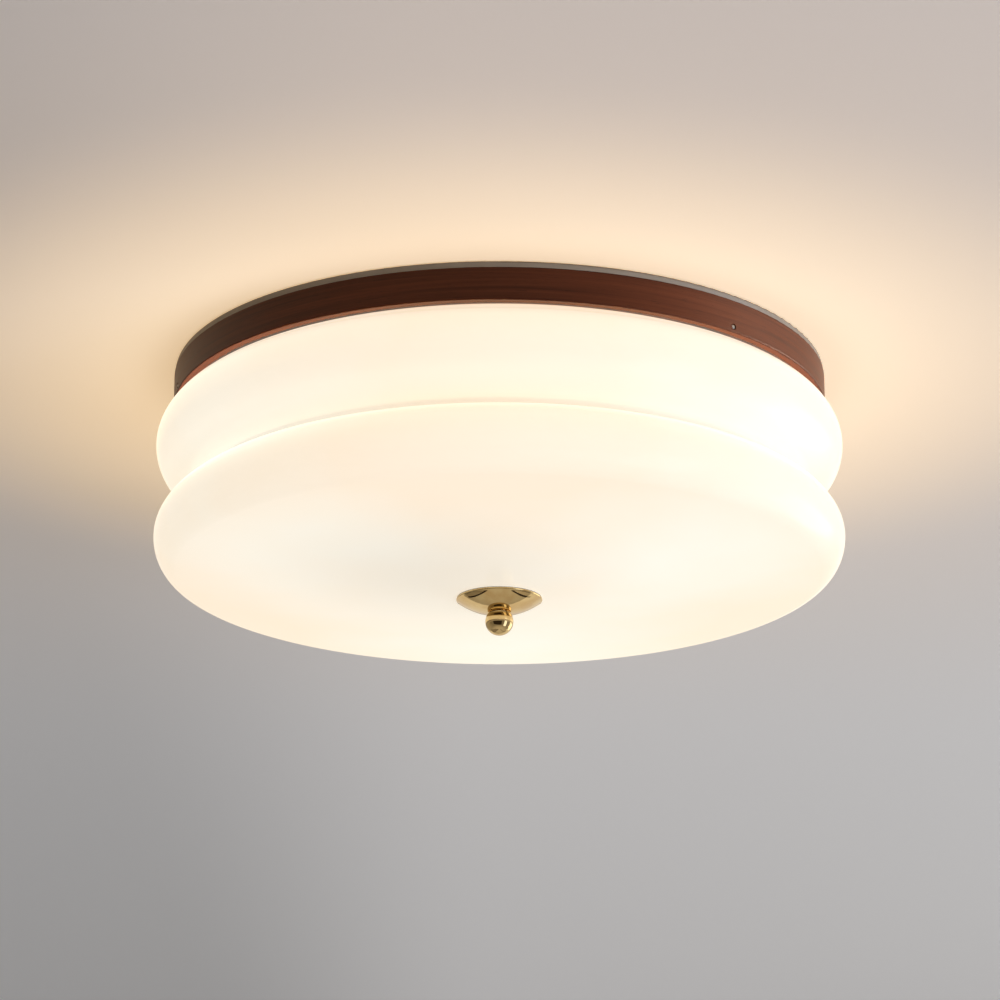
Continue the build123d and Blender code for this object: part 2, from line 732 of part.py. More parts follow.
# Lamp brackets: angle strips that hang the lamp holders from the pan's floor
for number, azimuth in enumerate(lamp_azimuths, start=1):
    with BuildPart() as holder_bracket:
        with BuildSketch(side_plane(azimuth)) as bracket_section:
            with BuildLine():
                Polyline(
                    (leg_inner, floor_under),
                    (leg_inner + bracket_foot, floor_under),
                    (leg_inner + bracket_foot, foot_under),
                    (holder_back, foot_under),
                    (holder_back, lamp_level - bracket_leg_below),
                    (leg_inner, lamp_level - bracket_leg_below),
                    close=True,
                )
            make_face()
            bend = bracket_section.vertices().sort_by_distance((leg_inner, floor_under))[0]
            fillet(bend, bracket_sheet)
        extrude(amount=bracket_width / 2, both=True)
        with BuildSketch(Plane.XY.offset(foot_under)):
            with PolarLocations(bracket_screw_distance, 1, azimuth):
                Circle(bracket_screw_radius + hole_clearance)
        extrude(amount=bracket_sheet, mode=Mode.SUBTRACT)
        with BuildSketch(radial_plane(azimuth, leg_inner, lamp_level)):
            with Locations((-holder_screw_offset, 0), (holder_screw_offset, 0)):
                Circle(holder_screw_radius + hole_clearance)
        extrude(amount=bracket_sheet, mode=Mode.SUBTRACT)
    save(holder_bracket, f"holder_bracket_{number}")

with BuildPart() as bracket_screws:
    with BuildSketch(Plane.XY.offset(foot_under)):
        with PolarLocations(bracket_screw_distance, lamp_count, lamp_azimuth):
            Circle(bracket_screw_head_radius)
    extrude(amount=-bracket_screw_head_height)
    fillet(bracket_screws.faces().group_by(Axis.Z)[0].edges(), bracket_screw_head_height / 2)
    with BuildSketch(Plane.XY.offset(foot_under)):
        with PolarLocations(bracket_screw_distance, lamp_count, lamp_azimuth):
            Circle(bracket_screw_radius)
    extrude(amount=bracket_sheet + pan_sheet + bracket_nut_height + seat_clearance)
save(bracket_screws, "bracket_screws")

with BuildPart() as bracket_nuts:
    with BuildSketch(Plane.XY.offset(floor_top)):
        with PolarLocations(bracket_screw_distance, lamp_count, lamp_azimuth):
            RegularPolygon(bracket_nut_flats / 2, nut_sides, major_radius=False)
            Circle(bracket_screw_radius + thread_clearance, mode=Mode.SUBTRACT)
    extrude(amount=bracket_nut_height)
save(bracket_nuts, "bracket_nuts")

# Lamp holders: stepped ceramic cups, each with a screw sleeve and a springy centre contact
for number, azimuth in enumerate(lamp_azimuths, start=1):
    with BuildPart() as lamp_holder:
        with BuildSketch(side_plane(azimuth, lamp_level)) as holder_section:
            with BuildLine():
                Polyline(
                    (holder_back, 0),
                    (holder_back, holder_back_radius),
                    (holder_back + holder_step, holder_back_radius),
                    (holder_back + holder_step, holder_front_radius),
                    (holder_mouth, holder_front_radius),
                    (holder_mouth, holder_bore_radius),
                    (holder_floor_face, holder_bore_radius),
                    (holder_floor_face, 0),
                    close=True,
                )
            make_face()
            rounded = holder_section.vertices()
            fillet(rounded.sort_by_distance((holder_back, holder_back_radius))[0], holder_edge_round)
            fillet(rounded.sort_by_distance((holder_mouth, holder_front_radius))[0], holder_edge_round)
        revolve(axis=lamp_axis(azimuth))
        with BuildSketch(radial_plane(azimuth, holder_back, lamp_level)):
            with Locations((-holder_screw_offset, 0), (holder_screw_offset, 0)):
                Circle(holder_screw_radius + thread_clearance)
        extrude(amount=holder_screw_bite + seat_clearance, mode=Mode.SUBTRACT)
        with BuildSketch(radial_plane(azimuth, holder_back, lamp_level)):
            with Locations((0, -holder_wire_hole_offset), (0, holder_wire_hole_offset)):
                Circle(holder_wire_hole_radius)
        extrude(amount=holder_floor, mode=Mode.SUBTRACT)
    save(lamp_holder, f"lamp_holder_{number}")

    with BuildPart() as holder_sleeve:
        with BuildSketch(radial_plane(azimuth, sleeve_front, lamp_level)):
            Circle(sleeve_outer_radius)
            Circle(sleeve_outer_radius - sleeve_wall, mode=Mode.SUBTRACT)
        extrude(amount=-sleeve_length)
    save(holder_sleeve, f"holder_sleeve_{number}")

    with BuildPart() as holder_contact:
        with BuildSketch(side_plane(azimuth, lamp_level)):
            with BuildLine():
                Polyline(
                    (holder_floor_face, -contact_length / 2),
                    (holder_floor_face, contact_length / 2),
                    (holder_floor_face + contact_sheet + contact_rise, contact_length / 4),
                    (holder_floor_face + contact_sheet + contact_rise, -contact_length / 4),
                    (holder_floor_face + contact_rise, -contact_length / 4),
                    (holder_floor_face + contact_rise, contact_length / 4 - contact_sheet),
                    (holder_floor_face + contact_sheet, contact_length / 2 - 2 * contact_sheet),
                    (holder_floor_face + contact_sheet, -contact_length / 2),
                    close=True,
                )
            make_face()
        extrude(amount=contact_width / 2, both=True)
    save(holder_contact, f"holder_contact_{number}")

with BuildPart() as holder_screws:
    for azimuth in lamp_azimuths:
        with BuildSketch(radial_plane(azimuth, leg_inner, lamp_level)):
            with Locations((-holder_screw_offset, 0), (holder_screw_offset, 0)):
                Circle(holder_screw_head_radius)
        extrude(amount=-holder_screw_head_height)
        with BuildSketch(radial_plane(azimuth, leg_inner, lamp_level)):
            with Locations((-holder_screw_offset, 0), (holder_screw_offset, 0)):
                Circle(holder_screw_radius)
        extrude(amount=bracket_sheet + holder_screw_bite)
save(holder_screws, "holder_screws")

# Bulbs: foot contact, screw cap, flared housing and thin opal globe
for number, azimuth in enumerate(lamp_azimuths, start=1):
    with BuildPart() as bulb_foot:
        with BuildSketch(side_plane(azimuth, lamp_level)):
            with BuildLine():
                Polyline(
                    (bulb_tip, 0),
                    (bulb_tip, bulb_tip_radius),
                    (bulb_foot_start, bulb_tip_radius),
                    (bulb_cap_start, bulb_foot_radius - seat_clearance),
                    (bulb_cap_start + bulb_cap_wall, bulb_foot_radius - seat_clearance),
                    (bulb_cap_start + bulb_cap_wall, 0),
                    close=True,
                )
            make_face()
        revolve(axis=lamp_axis(azimuth))
    save(bulb_foot, f"bulb_foot_{number}")

    with BuildPart() as bulb_cap:
        with BuildSketch(side_plane(azimuth, lamp_level)):
            with BuildLine():
                Polyline(
                    (bulb_cap_start, bulb_foot_radius),
                    (bulb_cap_start, bulb_cap_radius - bulb_cap_wall),
                    (bulb_cap_start + bulb_cap_wall, bulb_cap_radius),
                    (bulb_housing_start, bulb_cap_radius),
                    (bulb_housing_start, bulb_cap_radius - bulb_cap_wall),
                    (bulb_cap_start + bulb_cap_wall, bulb_cap_radius - bulb_cap_wall),
                    (bulb_cap_start + bulb_cap_wall, bulb_foot_radius),
                    close=True,
                )
            make_face()
        revolve(axis=lamp_axis(azimuth))
    save(bulb_cap, f"bulb_cap_{number}")

    with BuildPart() as bulb_housing:
        with BuildSketch(side_plane(azimuth, lamp_level)):
            with BuildLine():
                flare = TangentArc(
                    (bulb_flare_start, bulb_neck_radius),
                    (bulb_globe_start, bulb_housing_radius),
                    tangent=(1, bulb_flare_slope),
                )
                Polyline(
                    flare @ 1,
                    (bulb_globe_start, 0),
                    (bulb_cap_start + bulb_cap_wall, 0),
                    (bulb_cap_start + bulb_cap_wall, bulb_cap_radius - bulb_cap_wall),
                    (bulb_housing_start, bulb_cap_radius - bulb_cap_wall),
                    (bulb_housing_start, bulb_neck_radius),
                    flare @ 0,
                )
            make_face()
        revolve(axis=lamp_axis(azimuth))
    save(bulb_housing, f"bulb_housing_{number}")

    with BuildPart() as bulb_globe:
        with BuildSketch(side_plane(azimuth, lamp_level)):
            with BuildLine():
                globe_inner = bulb_globe_radius - bulb_globe_wall
                crown_out = CenterArc((bulb_globe_centre, 0), bulb_globe_radius, 0, 90)
                crown_in = CenterArc((bulb_globe_centre, 0), globe_inner, 0, 90)
                side_out = TangentArc(
                    crown_out @ 1, (bulb_globe_start, bulb_housing_radius), tangent=(-1, 0)
                )
                side_in = TangentArc(
                    crown_in @ 1, (bulb_globe_start, bulb_housing_radius - bulb_globe_wall), tangent=(-1, 0)
                )
                Line(side_out @ 1, side_in @ 1)
                Line(crown_in @ 0, crown_out @ 0)
            make_face()
        revolve(axis=lamp_axis(azimuth))
    save(bulb_globe, f"bulb_globe_{number}")

# Terminal block: a low base with one tower for each pole, wire tunnels and clamp screws
with BuildPart() as terminal_block:
    with BuildSketch(Plane.XY.offset(floor_under)):
        with Locations((0, block_centre)):
            Rectangle(block_width, block_depth)
    extrude(amount=-block_base_height)
    with BuildSketch(Plane.XY.offset(floor_under - block_base_height)):
        with Locations((0, block_centre)):
            with GridLocations(block_pitch, 0, block_poles, 1):
                Rectangle(block_pitch - block_gap, block_tower_depth)
    extrude(amount=-(block_height - block_base_height))
    with BuildSketch(Plane.XZ.offset(-block_centre - block_depth / 2)):
        with Locations((0, terminal_level)):
            with GridLocations(block_pitch, 0, block_poles, 1):
                Circle(block_wire_radius)
    extrude(amount=block_depth, mode=Mode.SUBTRACT)
    with BuildSketch(Plane.XY.offset(block_under)):
        with Locations((0, block_centre)):
            with GridLocations(block_pitch, 0, block_poles, 1):
                Circle(block_screw_radius + seat_clearance)
    extrude(amount=block_height - block_base_height - block_wire_radius, mode=Mode.SUBTRACT)
    with BuildSketch(Plane.XY.offset(floor_under)):
        with Locations((0, block_centre)):
            with GridLocations(block_fixing_spacing, 0, 2, 1):
                Circle(block_fixing_radius + hole_clearance)
    extrude(amount=-block_height, mode=Mode.SUBTRACT)
save(terminal_block, "terminal_block")

with BuildPart() as terminal_screws:
    with BuildSketch(Plane.XY.offset(block_under)):
        with Locations((0, block_centre)):
            with GridLocations(block_pitch, 0, block_poles, 1):
                Circle(block_screw_radius)
    extrude(amount=block_height - block_base_height - 2 * block_wire_radius)
save(terminal_screws, "terminal_screws")

with BuildPart() as block_fixings:
    with BuildSketch(Plane.XY.offset(floor_top)):
        with Locations((0, block_centre)):
            with GridLocations(block_fixing_spacing, 0, 2, 1):
                Circle(block_fixing_head_radius)
    extrude(amount=block_fixing_head_height)
    with BuildSketch(Plane.XY.offset(floor_top)):
        with Locations((0, block_centre)):
            with GridLocations(block_fixing_spacing, 0, 2, 1):
                Circle(block_fixing_radius)
    extrude(amount=-(pan_sheet + block_base_height))
save(block_fixings, "block_fixings")

# Earth screw with its washer, under the pan's floor
earth_head_level = floor_under - earth_washer_sheet
with BuildPart() as earth_washer:
    with BuildSketch(Plane.XY.offset(floor_under)):
        with PolarLocations(earth_distance, 1, earth_azimuth):
            Circle(earth_washer_radius)
            Circle(earth_screw_radius + hole_clearance, mode=Mode.SUBTRACT)
    extrude(amount=-earth_washer_sheet)
save(earth_washer, "earth_washer")

with BuildPart() as earth_screw:
    with BuildSketch(Plane.XY.offset(earth_head_level)):
        with PolarLocations(earth_distance, 1, earth_azimuth):
            Circle(earth_head_radius)
    extrude(amount=-earth_head_height)
    fillet(earth_screw.faces().group_by(Axis.Z)[0].edges(), earth_head_height / 2)
    with BuildSketch(Plane.XY.offset(earth_head_level)):
        with PolarLocations(earth_distance, 1, earth_azimuth):
            Circle(earth_screw_radius)
    extrude(amount=earth_screw_length)
save(earth_screw, "earth_screw")

# Cable grommet: a grooved rubber ring in the pan's floor
with BuildPart() as cable_grommet:
    for level, radius, height in (
        (floor_top, grommet_flange_radius, grommet_flange_height),
        (floor_under, grommet_neck_radius, pan_sheet),
        (floor_under - grommet_flange_height, grommet_flange_radius, grommet_flange_height),
    ):
        with BuildSketch(Plane.XY.offset(level)):
            with Locations((0, grommet_centre)):
                Circle(radius)
                Circle(grommet_bore_radius, mode=Mode.SUBTRACT)
        extrude(amount=height)
save(cable_grommet, "cable_grommet")

# Lamp leads: a live and a neutral wire to each holder, led behind the brackets to the terminal block
for name, pole, cross_drop in (("live_leads", -1, lead_deep_drop), ("neutral_leads", 1, lead_cross_drop)):
    terminal_x = pole * block_pitch
    back_lamp = lamp_azimuths[0]
    near_lamp, far_lamp = lamp_azimuths[1:] if pole < 0 else lamp_azimuths[:0:-1]
    beside_leg = radial_plane(near_lamp, 0, floor_under - lead_high_drop)
    stack_low = terminal_level - lead_stack_down
    fan = pole * lead_fan
    back_route = lead_riser(back_lamp, pole, lead_low_drop) + lead_end(terminal_x + fan, stack_low)
    near_route = (
        lead_riser(near_lamp, -pole, lead_high_drop)
        + [beside_leg.from_local_coords((0, pole * lead_leg_pass, lead_rod_distance))]
        + lead_end(terminal_x, terminal_level + lead_stack_up)
    )
    far_route = lead_riser(far_lamp, -pole, cross_drop) + lead_end(terminal_x - fan, stack_low)
    riser_bends = [lead_bend, lead_bend]
    with BuildPart() as leads:
        for route, bends in (
            (back_route, riser_bends + [lead_entry_bend]),
            (near_route, riser_bends + [lead_swing_bend, lead_entry_bend]),
            (far_route, riser_bends + [lead_entry_bend]),
        ):
            with BuildLine():
                path = FilletPolyline(*route, radius=bends)
            with BuildSketch(Plane(origin=path @ 0, z_dir=path % 0)):
                Circle(lead_radius)
            sweep(path=path)
    save(leads, name)
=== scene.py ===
import json
import logging
import math
from dataclasses import dataclass
from enum import Enum
from functools import partial
from typing import Any, Callable, Iterable, Sequence

import bpy
from mathutils import Matrix, Vector

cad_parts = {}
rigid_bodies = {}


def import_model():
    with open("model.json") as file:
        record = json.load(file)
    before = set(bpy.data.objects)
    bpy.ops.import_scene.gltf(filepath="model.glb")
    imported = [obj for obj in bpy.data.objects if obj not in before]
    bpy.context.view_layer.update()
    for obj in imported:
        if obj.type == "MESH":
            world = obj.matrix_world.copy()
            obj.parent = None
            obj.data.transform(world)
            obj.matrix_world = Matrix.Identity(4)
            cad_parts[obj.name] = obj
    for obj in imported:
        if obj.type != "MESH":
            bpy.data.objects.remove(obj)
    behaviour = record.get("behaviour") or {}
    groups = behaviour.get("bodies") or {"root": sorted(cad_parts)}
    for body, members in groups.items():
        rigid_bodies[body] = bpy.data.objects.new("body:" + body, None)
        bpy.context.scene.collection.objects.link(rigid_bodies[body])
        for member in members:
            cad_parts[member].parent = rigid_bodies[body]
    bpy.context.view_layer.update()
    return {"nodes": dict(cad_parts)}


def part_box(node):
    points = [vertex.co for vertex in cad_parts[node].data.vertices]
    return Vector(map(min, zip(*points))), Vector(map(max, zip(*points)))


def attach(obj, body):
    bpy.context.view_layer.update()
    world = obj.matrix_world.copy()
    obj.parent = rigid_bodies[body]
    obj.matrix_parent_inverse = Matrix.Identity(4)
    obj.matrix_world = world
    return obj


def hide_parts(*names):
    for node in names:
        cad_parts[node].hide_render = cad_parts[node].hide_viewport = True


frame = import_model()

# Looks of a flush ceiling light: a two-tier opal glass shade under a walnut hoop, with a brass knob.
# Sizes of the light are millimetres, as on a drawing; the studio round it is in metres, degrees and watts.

MM = 0.001
LOG = logging.getLogger("ceiling_light")
# Edges that turn by more than this stay sharp
SHARP_DEGREES = 32
# A range that eases in and out
SMOOTH = {"interpolation_type": "SMOOTHSTEP"}

Point = tuple[float, float]
Triple = tuple[float, float, float]
Outline = list[Point]
Piece = bpy.types.Object
Node = bpy.types.Node
Values = dict[str | int, Any]
# add_node for one node tree
Adder = Callable[..., Node]


class Body(str, Enum):
    """Bodies of the light that single pieces ride on."""

    BASE = "base"
    SHADE = "shade"
    DISH = "dish"
    KNOB = "knob"


class Drive(Enum):
    """Ways a screw head takes its driver, by the number of slots."""

    SLOT = 1
    CROSS = 2


def linear(hex_colour: str) -> tuple[float, float, float, float]:
    """Turn an sRGB hex colour into linear red, green, blue and alpha.

    Args:
        hex_colour: Colour as "#RRGGBB".

    Returns:
        The linear colour, with an alpha of 1.
    """
    channels = [int(hex_colour[i : i + 2], 16) / 255 for i in (1, 3, 5)]
    red, green, blue = (c / 12.92 if c <= 0.04045 else ((c + 0.055) / 1.055) ** 2.4 for c in channels)
    return red, green, blue, 1.0


def fill(node: Node, values: Values) -> None:
    """Set and link a node's inputs and properties.

    Args:
        node: Node to set.
        values: Values by property name, input name or input number. A socket is linked, and a node stands
            for its first output in use. "stops" holds the colours of a ramp by place, both ends first.
    """
    for key, value in values.items():
        if isinstance(value, Node):
            value = next(socket for socket in value.outputs if socket.enabled)
        if key == "stops":
            ramp = node.color_ramp.elements
            for n, (position, colour) in enumerate(value):
                stop = ramp[n] if n < len(ramp) else ramp.new(position)
                stop.position, stop.color = position, linear(colour)
        elif isinstance(value, bpy.types.NodeSocket):
            node.id_data.links.new(value, node.inputs[key])
        elif isinstance(key, str) and hasattr(node, key):
            setattr(node, key, value)
        else:
            node.inputs[key].default_value = value


def add_node(tree: bpy.types.NodeTree, kind: str, values: Values | None = None) -> Node:
    """Add a shader node with its settings and links.

    Args:
        tree: Node tree that takes the node.
        kind: Blender's name for the node type, without its ShaderNode.
        values: Settings and links as fill takes them, properties first.

    Returns:
        The new node.
    """
    node = tree.nodes.new("ShaderNode" + kind)
    fill(node, values or {})
    return node


def per_metre(*sizes_mm: float) -> float | tuple[float, ...]:
    """Texture scale that repeats a pattern once in a real size in millimetres, or in each of several."""
    scales = tuple(1.0 / (size * MM) for size in sizes_mm)
    return scales if len(scales) > 1 else scales[0]


class Finish:
    """Base of every finish: one procedural material that is made once and shared."""

    title: str
    # Name of the material that pieces made here are of; finishes of CAD nodes alone have none
    slot: str
    roughness: Point
    # Values of the gloss pattern at the two ends of the roughness
    spread: Point = (0.0, 1.0)
    # Strength of the surface's relief
    relief: float

    def paint(self, add: Adder, shader: Node) -> None:
        """Build the finish's own nodes around the shader; each finish has its own."""
        raise NotImplementedError

    def texture(self, add: Adder, shader: Node, gloss: Node, height_mm: float, grain: Any) -> None:
        """Let the gloss follow one pattern, and raise another as fine relief.

        Args:
            add: Adder for the material's node tree.
            shader: Shader of the material.
            gloss: Pattern that the roughness follows.
            height_mm: Height of the relief.
            grain: Node or socket with the pattern that is raised.
        """
        (start, end), (low, high) = self.spread, self.roughness
        rough = add("MapRange", {0: gloss, 1: start, 2: end, 3: low, 4: high})
        bump = add("Bump", {"Strength": self.relief, "Distance": height_mm * MM, "Height": grain})
        fill(shader, {"Roughness": rough, "Normal": bump})

    def material(self) -> bpy.types.Material:
        """Make the material, or find it where it is already made.

        Returns:
            The finish's material.
        """
        found = bpy.data.materials.get(self.title)
        if found:
            return found
        made = bpy.data.materials.new(self.title)
        made.use_nodes = True
        self.paint(partial(add_node, made.node_tree), made.node_tree.nodes["Principled BSDF"])
        return made

    def cover(self, piece: Piece) -> None:
        """Put the finish on a piece in place of what it has."""
        piece.data.materials.clear()
        piece.data.materials.append(self.material())


@dataclass(frozen=True)
class OpalGlass(Finish):
    """Opal glass, blown in a mould and fire-polished: milky, glossy and warm where lamps shine through."""

    title: str = "opal_glass_blown"
    slot: str = "opal_glass"
    body: str = "#C0BDB7"
    roughness: Point = (0.14, 0.22)
    glow_low: str = "#FFEACD"
    glow_high: str = "#FFFAEA"
    glow_strength: float = 0.83
    gather_mm: float = 90.0
    gather_height_mm: float = 0.6
    relief: float = 0.25
    cloud_mm: float = 70.0
    cloud_share: float = 0.4
    lamp_reach_mm: float = 190.0
    # A thin painted shade line round the shoulder, just below the hoop
    shade_line_level_mm: float = -29.0
    shade_line_half_width_mm: float = 0.8
    shade_line_dim: float = 0.14
    # Middle, reach and depth of a painted shadow of the hub on the glass beside the finial
    hub_mm: Triple = (-40.0, -48.0, -133.0)
    hub_reach_mm: float = 135.0
    hub_dim: float = 0.16
    # Level, reach and depth of painted shade in the waist between the bulges
    waist_level_mm: float = -81.0
    waist_reach_mm: float = 16.0
    waist_dim: float = 0.26
    # Levels over which the neck behind the hoop fades into painted shade, and how far it dims
    collar_mm: Point = (-24.0, -21.0)
    collar_dim: float = 0.9
    lamps: tuple[Triple, ...] = ()

    def paint(self, add: Adder, shader: Node) -> None:
        """Glow from each lamp in softly clouded milk, dimmed by painted shade: a painted shadow of the hub,
        a painted shade line below the hoop, and painted shade in the waist and on the collar.

        Args:
            add: Adder for the material's node tree.
            shader: Shader of the material.
        """
        place = add("TexCoord").outputs["Object"]
        level = add("SeparateXYZ", {0: place}).outputs["Z"]
        clouds = add("TexNoise", {"Scale": per_metre(self.cloud_mm), "Detail": 3.0, "Vector": place})
        total = add("Math", {"operation": "MULTIPLY", 0: clouds, 1: self.cloud_share})
        for lamp in self.lamps:
            away = add("VectorMath", {"operation": "DISTANCE", 0: place, 1: lamp})
            share = add("MapRange", SMOOTH | {0: away, 1: self.lamp_reach_mm * MM, 2: 0.0})
            total = add("Math", {"operation": "ADD", 0: total, 1: share})
        glow = add("ValToRGB", {0: total, "stops": ((0.35, self.glow_low), (1.0, self.glow_high))})
        # Painted shadow of the hub
        hub = tuple(n * MM for n in self.hub_mm)
        below = add("VectorMath", {"operation": "DISTANCE", 0: place, 1: hub})
        shine = add("MapRange", SMOOTH | {0: below, 2: self.hub_reach_mm * MM, 3: 1 - self.hub_dim})
        # Painted shade line below the hoop
        line = {1: self.shade_line_level_mm * MM, 2: self.shade_line_half_width_mm * MM}
        shade_line = add("Math", {"operation": "COMPARE", 0: level} | line)
        shine = add("Math", {"operation": "MULTIPLY_ADD", 0: shade_line, 1: -self.shade_line_dim, 2: shine})
        # Painted shade in the waist between the bulges
        above = add("Math", {"operation": "SUBTRACT", 0: level, 1: self.waist_level_mm * MM})
        apart = add("Math", {"operation": "ABSOLUTE", 0: above})
        waist = add("MapRange", SMOOTH | {0: apart, 2: self.waist_reach_mm * MM, 3: 1 - self.waist_dim})
        # Painted shade on the neck behind the hoop
        foot, top = (n * MM for n in self.collar_mm)
        collar = add("MapRange", {0: level, 1: foot, 2: top, 3: 1.0, 4: 1 - self.collar_dim})
        for share in (waist, collar):
            shine = add("Math", {"operation": "MULTIPLY", 0: shine, 1: share})
        lit = add("VectorMath", {"operation": "SCALE", 0: glow, "Scale": shine})
        skin = add("TexNoise", {"Scale": per_metre(self.gather_mm), "Detail": 1.0, "Vector": place})
        self.texture(add, shader, clouds, self.gather_height_mm, skin)
        fill(shader, {"Base Color": linear(self.body), "IOR": 1.52, "Specular IOR Level": 0.2})
        fill(shader, {"Emission Color": lit, "Emission Strength": self.glow_strength})


@dataclass(frozen=True)
class OiledWalnut(Finish):
    """Walnut, bent to a hoop, sanded and oiled: dark satin with long grain round the hoop and fine pores."""

    title: str = "walnut_oiled"
    dark: str = "#38180D"
    middle: str = "#4A2313"
    light: str = "#572B18"
    roughness: Point = (0.36, 0.50)
    hoop_radius_mm: float = 200.0
    grain_length_mm: float = 160.0
    grain_width_mm: float = 2.6
    pore_length_mm: float = 9.0
    pore_width_mm: float = 0.45
    pore_depth_mm: float = 0.12
    relief: float = 0.35
    pore_shade: float = 0.55
    # Values of the noise where a pore begins and is deepest
    pore_edge: Point = (0.62, 0.72)

    def paint(self, add: Adder, shader: Node) -> None:
        """Grain and pores in the hoop's own run, height and depth, with the joint at the back.

        Args:
            add: Adder for the material's node tree.
            shader: Shader of the material.
        """
        place = add("TexCoord").outputs["Object"]
        axes = add("SeparateXYZ", {0: place}).outputs
        back = add("Math", {"operation": "MULTIPLY", 0: axes["Y"], 1: -1.0})
        turn = add("Math", {"operation": "ARCTAN2", 0: axes["X"], 1: back})
        run = add("Math", {"operation": "MULTIPLY", 0: turn, 1: self.hoop_radius_mm * MM})
        depth = add("VectorMath", {"operation": "LENGTH", 0: place})
        hoop = add("CombineXYZ", {0: run, 1: axes["Z"], 2: depth})
        grain_scale = per_metre(self.grain_length_mm, self.grain_width_mm, self.grain_width_mm)
        pore_scale = per_metre(self.pore_length_mm, self.pore_width_mm, self.pore_width_mm)
        grain_map = add("Mapping", {"Scale": grain_scale, 0: hoop})
        pore_map = add("Mapping", {"Scale": pore_scale, 0: hoop})
        figure = {"Scale": 1.0, "Detail": 5.0, "Roughness": 0.6, "Distortion": 0.5}
        grain = add("TexNoise", figure | {"Vector": grain_map})
        pores = add("TexNoise", {"Scale": 1.0, "Detail": 2.0, "Vector": pore_map})
        stops = ((0.30, self.dark), (0.72, self.light), (0.5, self.middle))
        colour = add("ValToRGB", {0: grain, "stops": stops})
        rim, floor = self.pore_edge
        pit = add("MapRange", {0: pores, 1: rim, 2: floor, 3: 1.0, 4: self.pore_shade})
        stained = add("Mix", {"data_type": "RGBA", "blend_type": "MULTIPLY", 0: 1.0, 6: colour, 7: pit})
        self.texture(add, shader, grain, self.pore_depth_mm, pit)
        fill(shader, {"Base Color": stained, "IOR": 1.48})
        fill(shader, {"Specular IOR Level": 0.2, "Specular Tint": linear("#FFE6D2")})


@dataclass(frozen=True)
class PolishedBrass(Finish):
    """Brass, spun or turned, then buffed: a warm mirror with faint rings from the lathe and dull clouds."""

    title: str = "brass_buffed"
    slot: str = "polished_brass"
    colour: str = "#DFC48D"
    worn: str = "#D2B27A"
    roughness: Point = (0.02, 0.06)
    ring_mm: float = 0.5
    ring_height_mm: float = 0.05
    spread: Point = (0.3, 0.75)
    relief: float = 0.06
    cloud_mm: float = 9.0
    # Rings that a wave texture draws in one unit at a scale of 1
    rings_in_unit: float = 20.0

    def paint(self, add: Adder, shader: Node) -> None:
        """Lathe rings about the light's axis, drawn coarser than the real 0.1 mm so that they show.

        Args:
            add: Adder for the material's node tree.
            shader: Shader of the material.
        """
        place = add("TexCoord").outputs["Object"]
        clouds = add("TexNoise", {"Scale": per_metre(self.cloud_mm), "Detail": 4.0, "Vector": place})
        wave = {"wave_type": "RINGS", "rings_direction": "Z", "Distortion": 1.5, "Vector": place}
        rings = add("TexWave", wave | {"Scale": per_metre(self.ring_mm) / self.rings_in_unit})
        colour = add("ValToRGB", {0: clouds, "stops": ((0.35, self.worn), (0.6, self.colour))})
        self.texture(add, shader, clouds, self.ring_height_mm, rings.outputs["Fac"])
        fill(shader, {"Base Color": colour, "Metallic": 1.0})


@dataclass(frozen=True)
class CoatedSurface(Finish):
    """A coated, moulded or glazed surface: one colour with a fine skin, soft mottling and uneven gloss."""

    title: str
    colour: str
    shade: str
    roughness: Point
    skin_mm: float
    skin_height_mm: float
    ior: float = 1.5
    coat: float = 0.0
    glow: str = "#000000"
    glow_strength: float = 0.0
    mottle_share: float = 12.0
    relief: float = 0.5

    def paint(self, add: Adder, shader: Node) -> None:
        """Mottled colour at twelve times the skin's grain, and the skin itself as fine relief.

        Args:
            add: Adder for the material's node tree.
            shader: Shader of the material.
        """
        place = add("TexCoord").outputs["Object"]
        patch = per_metre(self.mottle_share * self.skin_mm)
        mottle = add("TexNoise", {"Scale": patch, "Detail": 4.0, "Vector": place})
        skin = add("TexNoise", {"Scale": per_metre(self.skin_mm), "Detail": 2.0, "Vector": place})
        colour = add("ValToRGB", {0: mottle, "stops": ((0.35, self.shade), (0.65, self.colour))})
        self.texture(add, shader, mottle, self.skin_height_mm, skin)
        fill(shader, {"Base Color": colour, "IOR": self.ior})
        fill(shader, {"Coat Weight": self.coat, "Coat Roughness": 0.08})
        fill(shader, {"Emission Color": linear(self.glow), "Emission Strength": self.glow_strength})


@dataclass(frozen=True)
class PlatedMetal(Finish):
    """A plated or drawn metal: bright, with cloudy passivation, drawing lines and duller patches."""

    title: str
    slot: str
    colour: str
    tint: str
    roughness: Point
    cloud_mm: float = 4.0
    line_mm: float = 0.3
    line_length_mm: float = 12.0
    line_depth_mm: float = 0.04
    spread: Point = (0.3, 0.7)
    relief: float = 0.15

    def paint(self, add: Adder, shader: Node) -> None:
        """Cloudy tint of the plating, and drawing lines coarser than real so that they show.

        Args:
            add: Adder for the material's node tree.
            shader: Shader of the material.
        """
        place = add("TexCoord").outputs["Object"]
        clouds = add("TexNoise", {"Scale": per_metre(self.cloud_mm), "Detail": 5.0, "Vector": place})
        stretch = per_metre(self.line_mm, self.line_mm, self.line_length_mm)
        drawn = add("Mapping", {"Scale": stretch, 0: place})
        lines = add("TexNoise", {"Scale": 1.0, "Detail": 1.0, "Vector": drawn})
        colour = add("ValToRGB", {0: clouds, "stops": ((0.35, self.tint), (0.62, self.colour))})
        self.texture(add, shader, clouds, self.line_depth_mm, lines)
        fill(shader, {"Base Color": colour, "Metallic": 1.0})


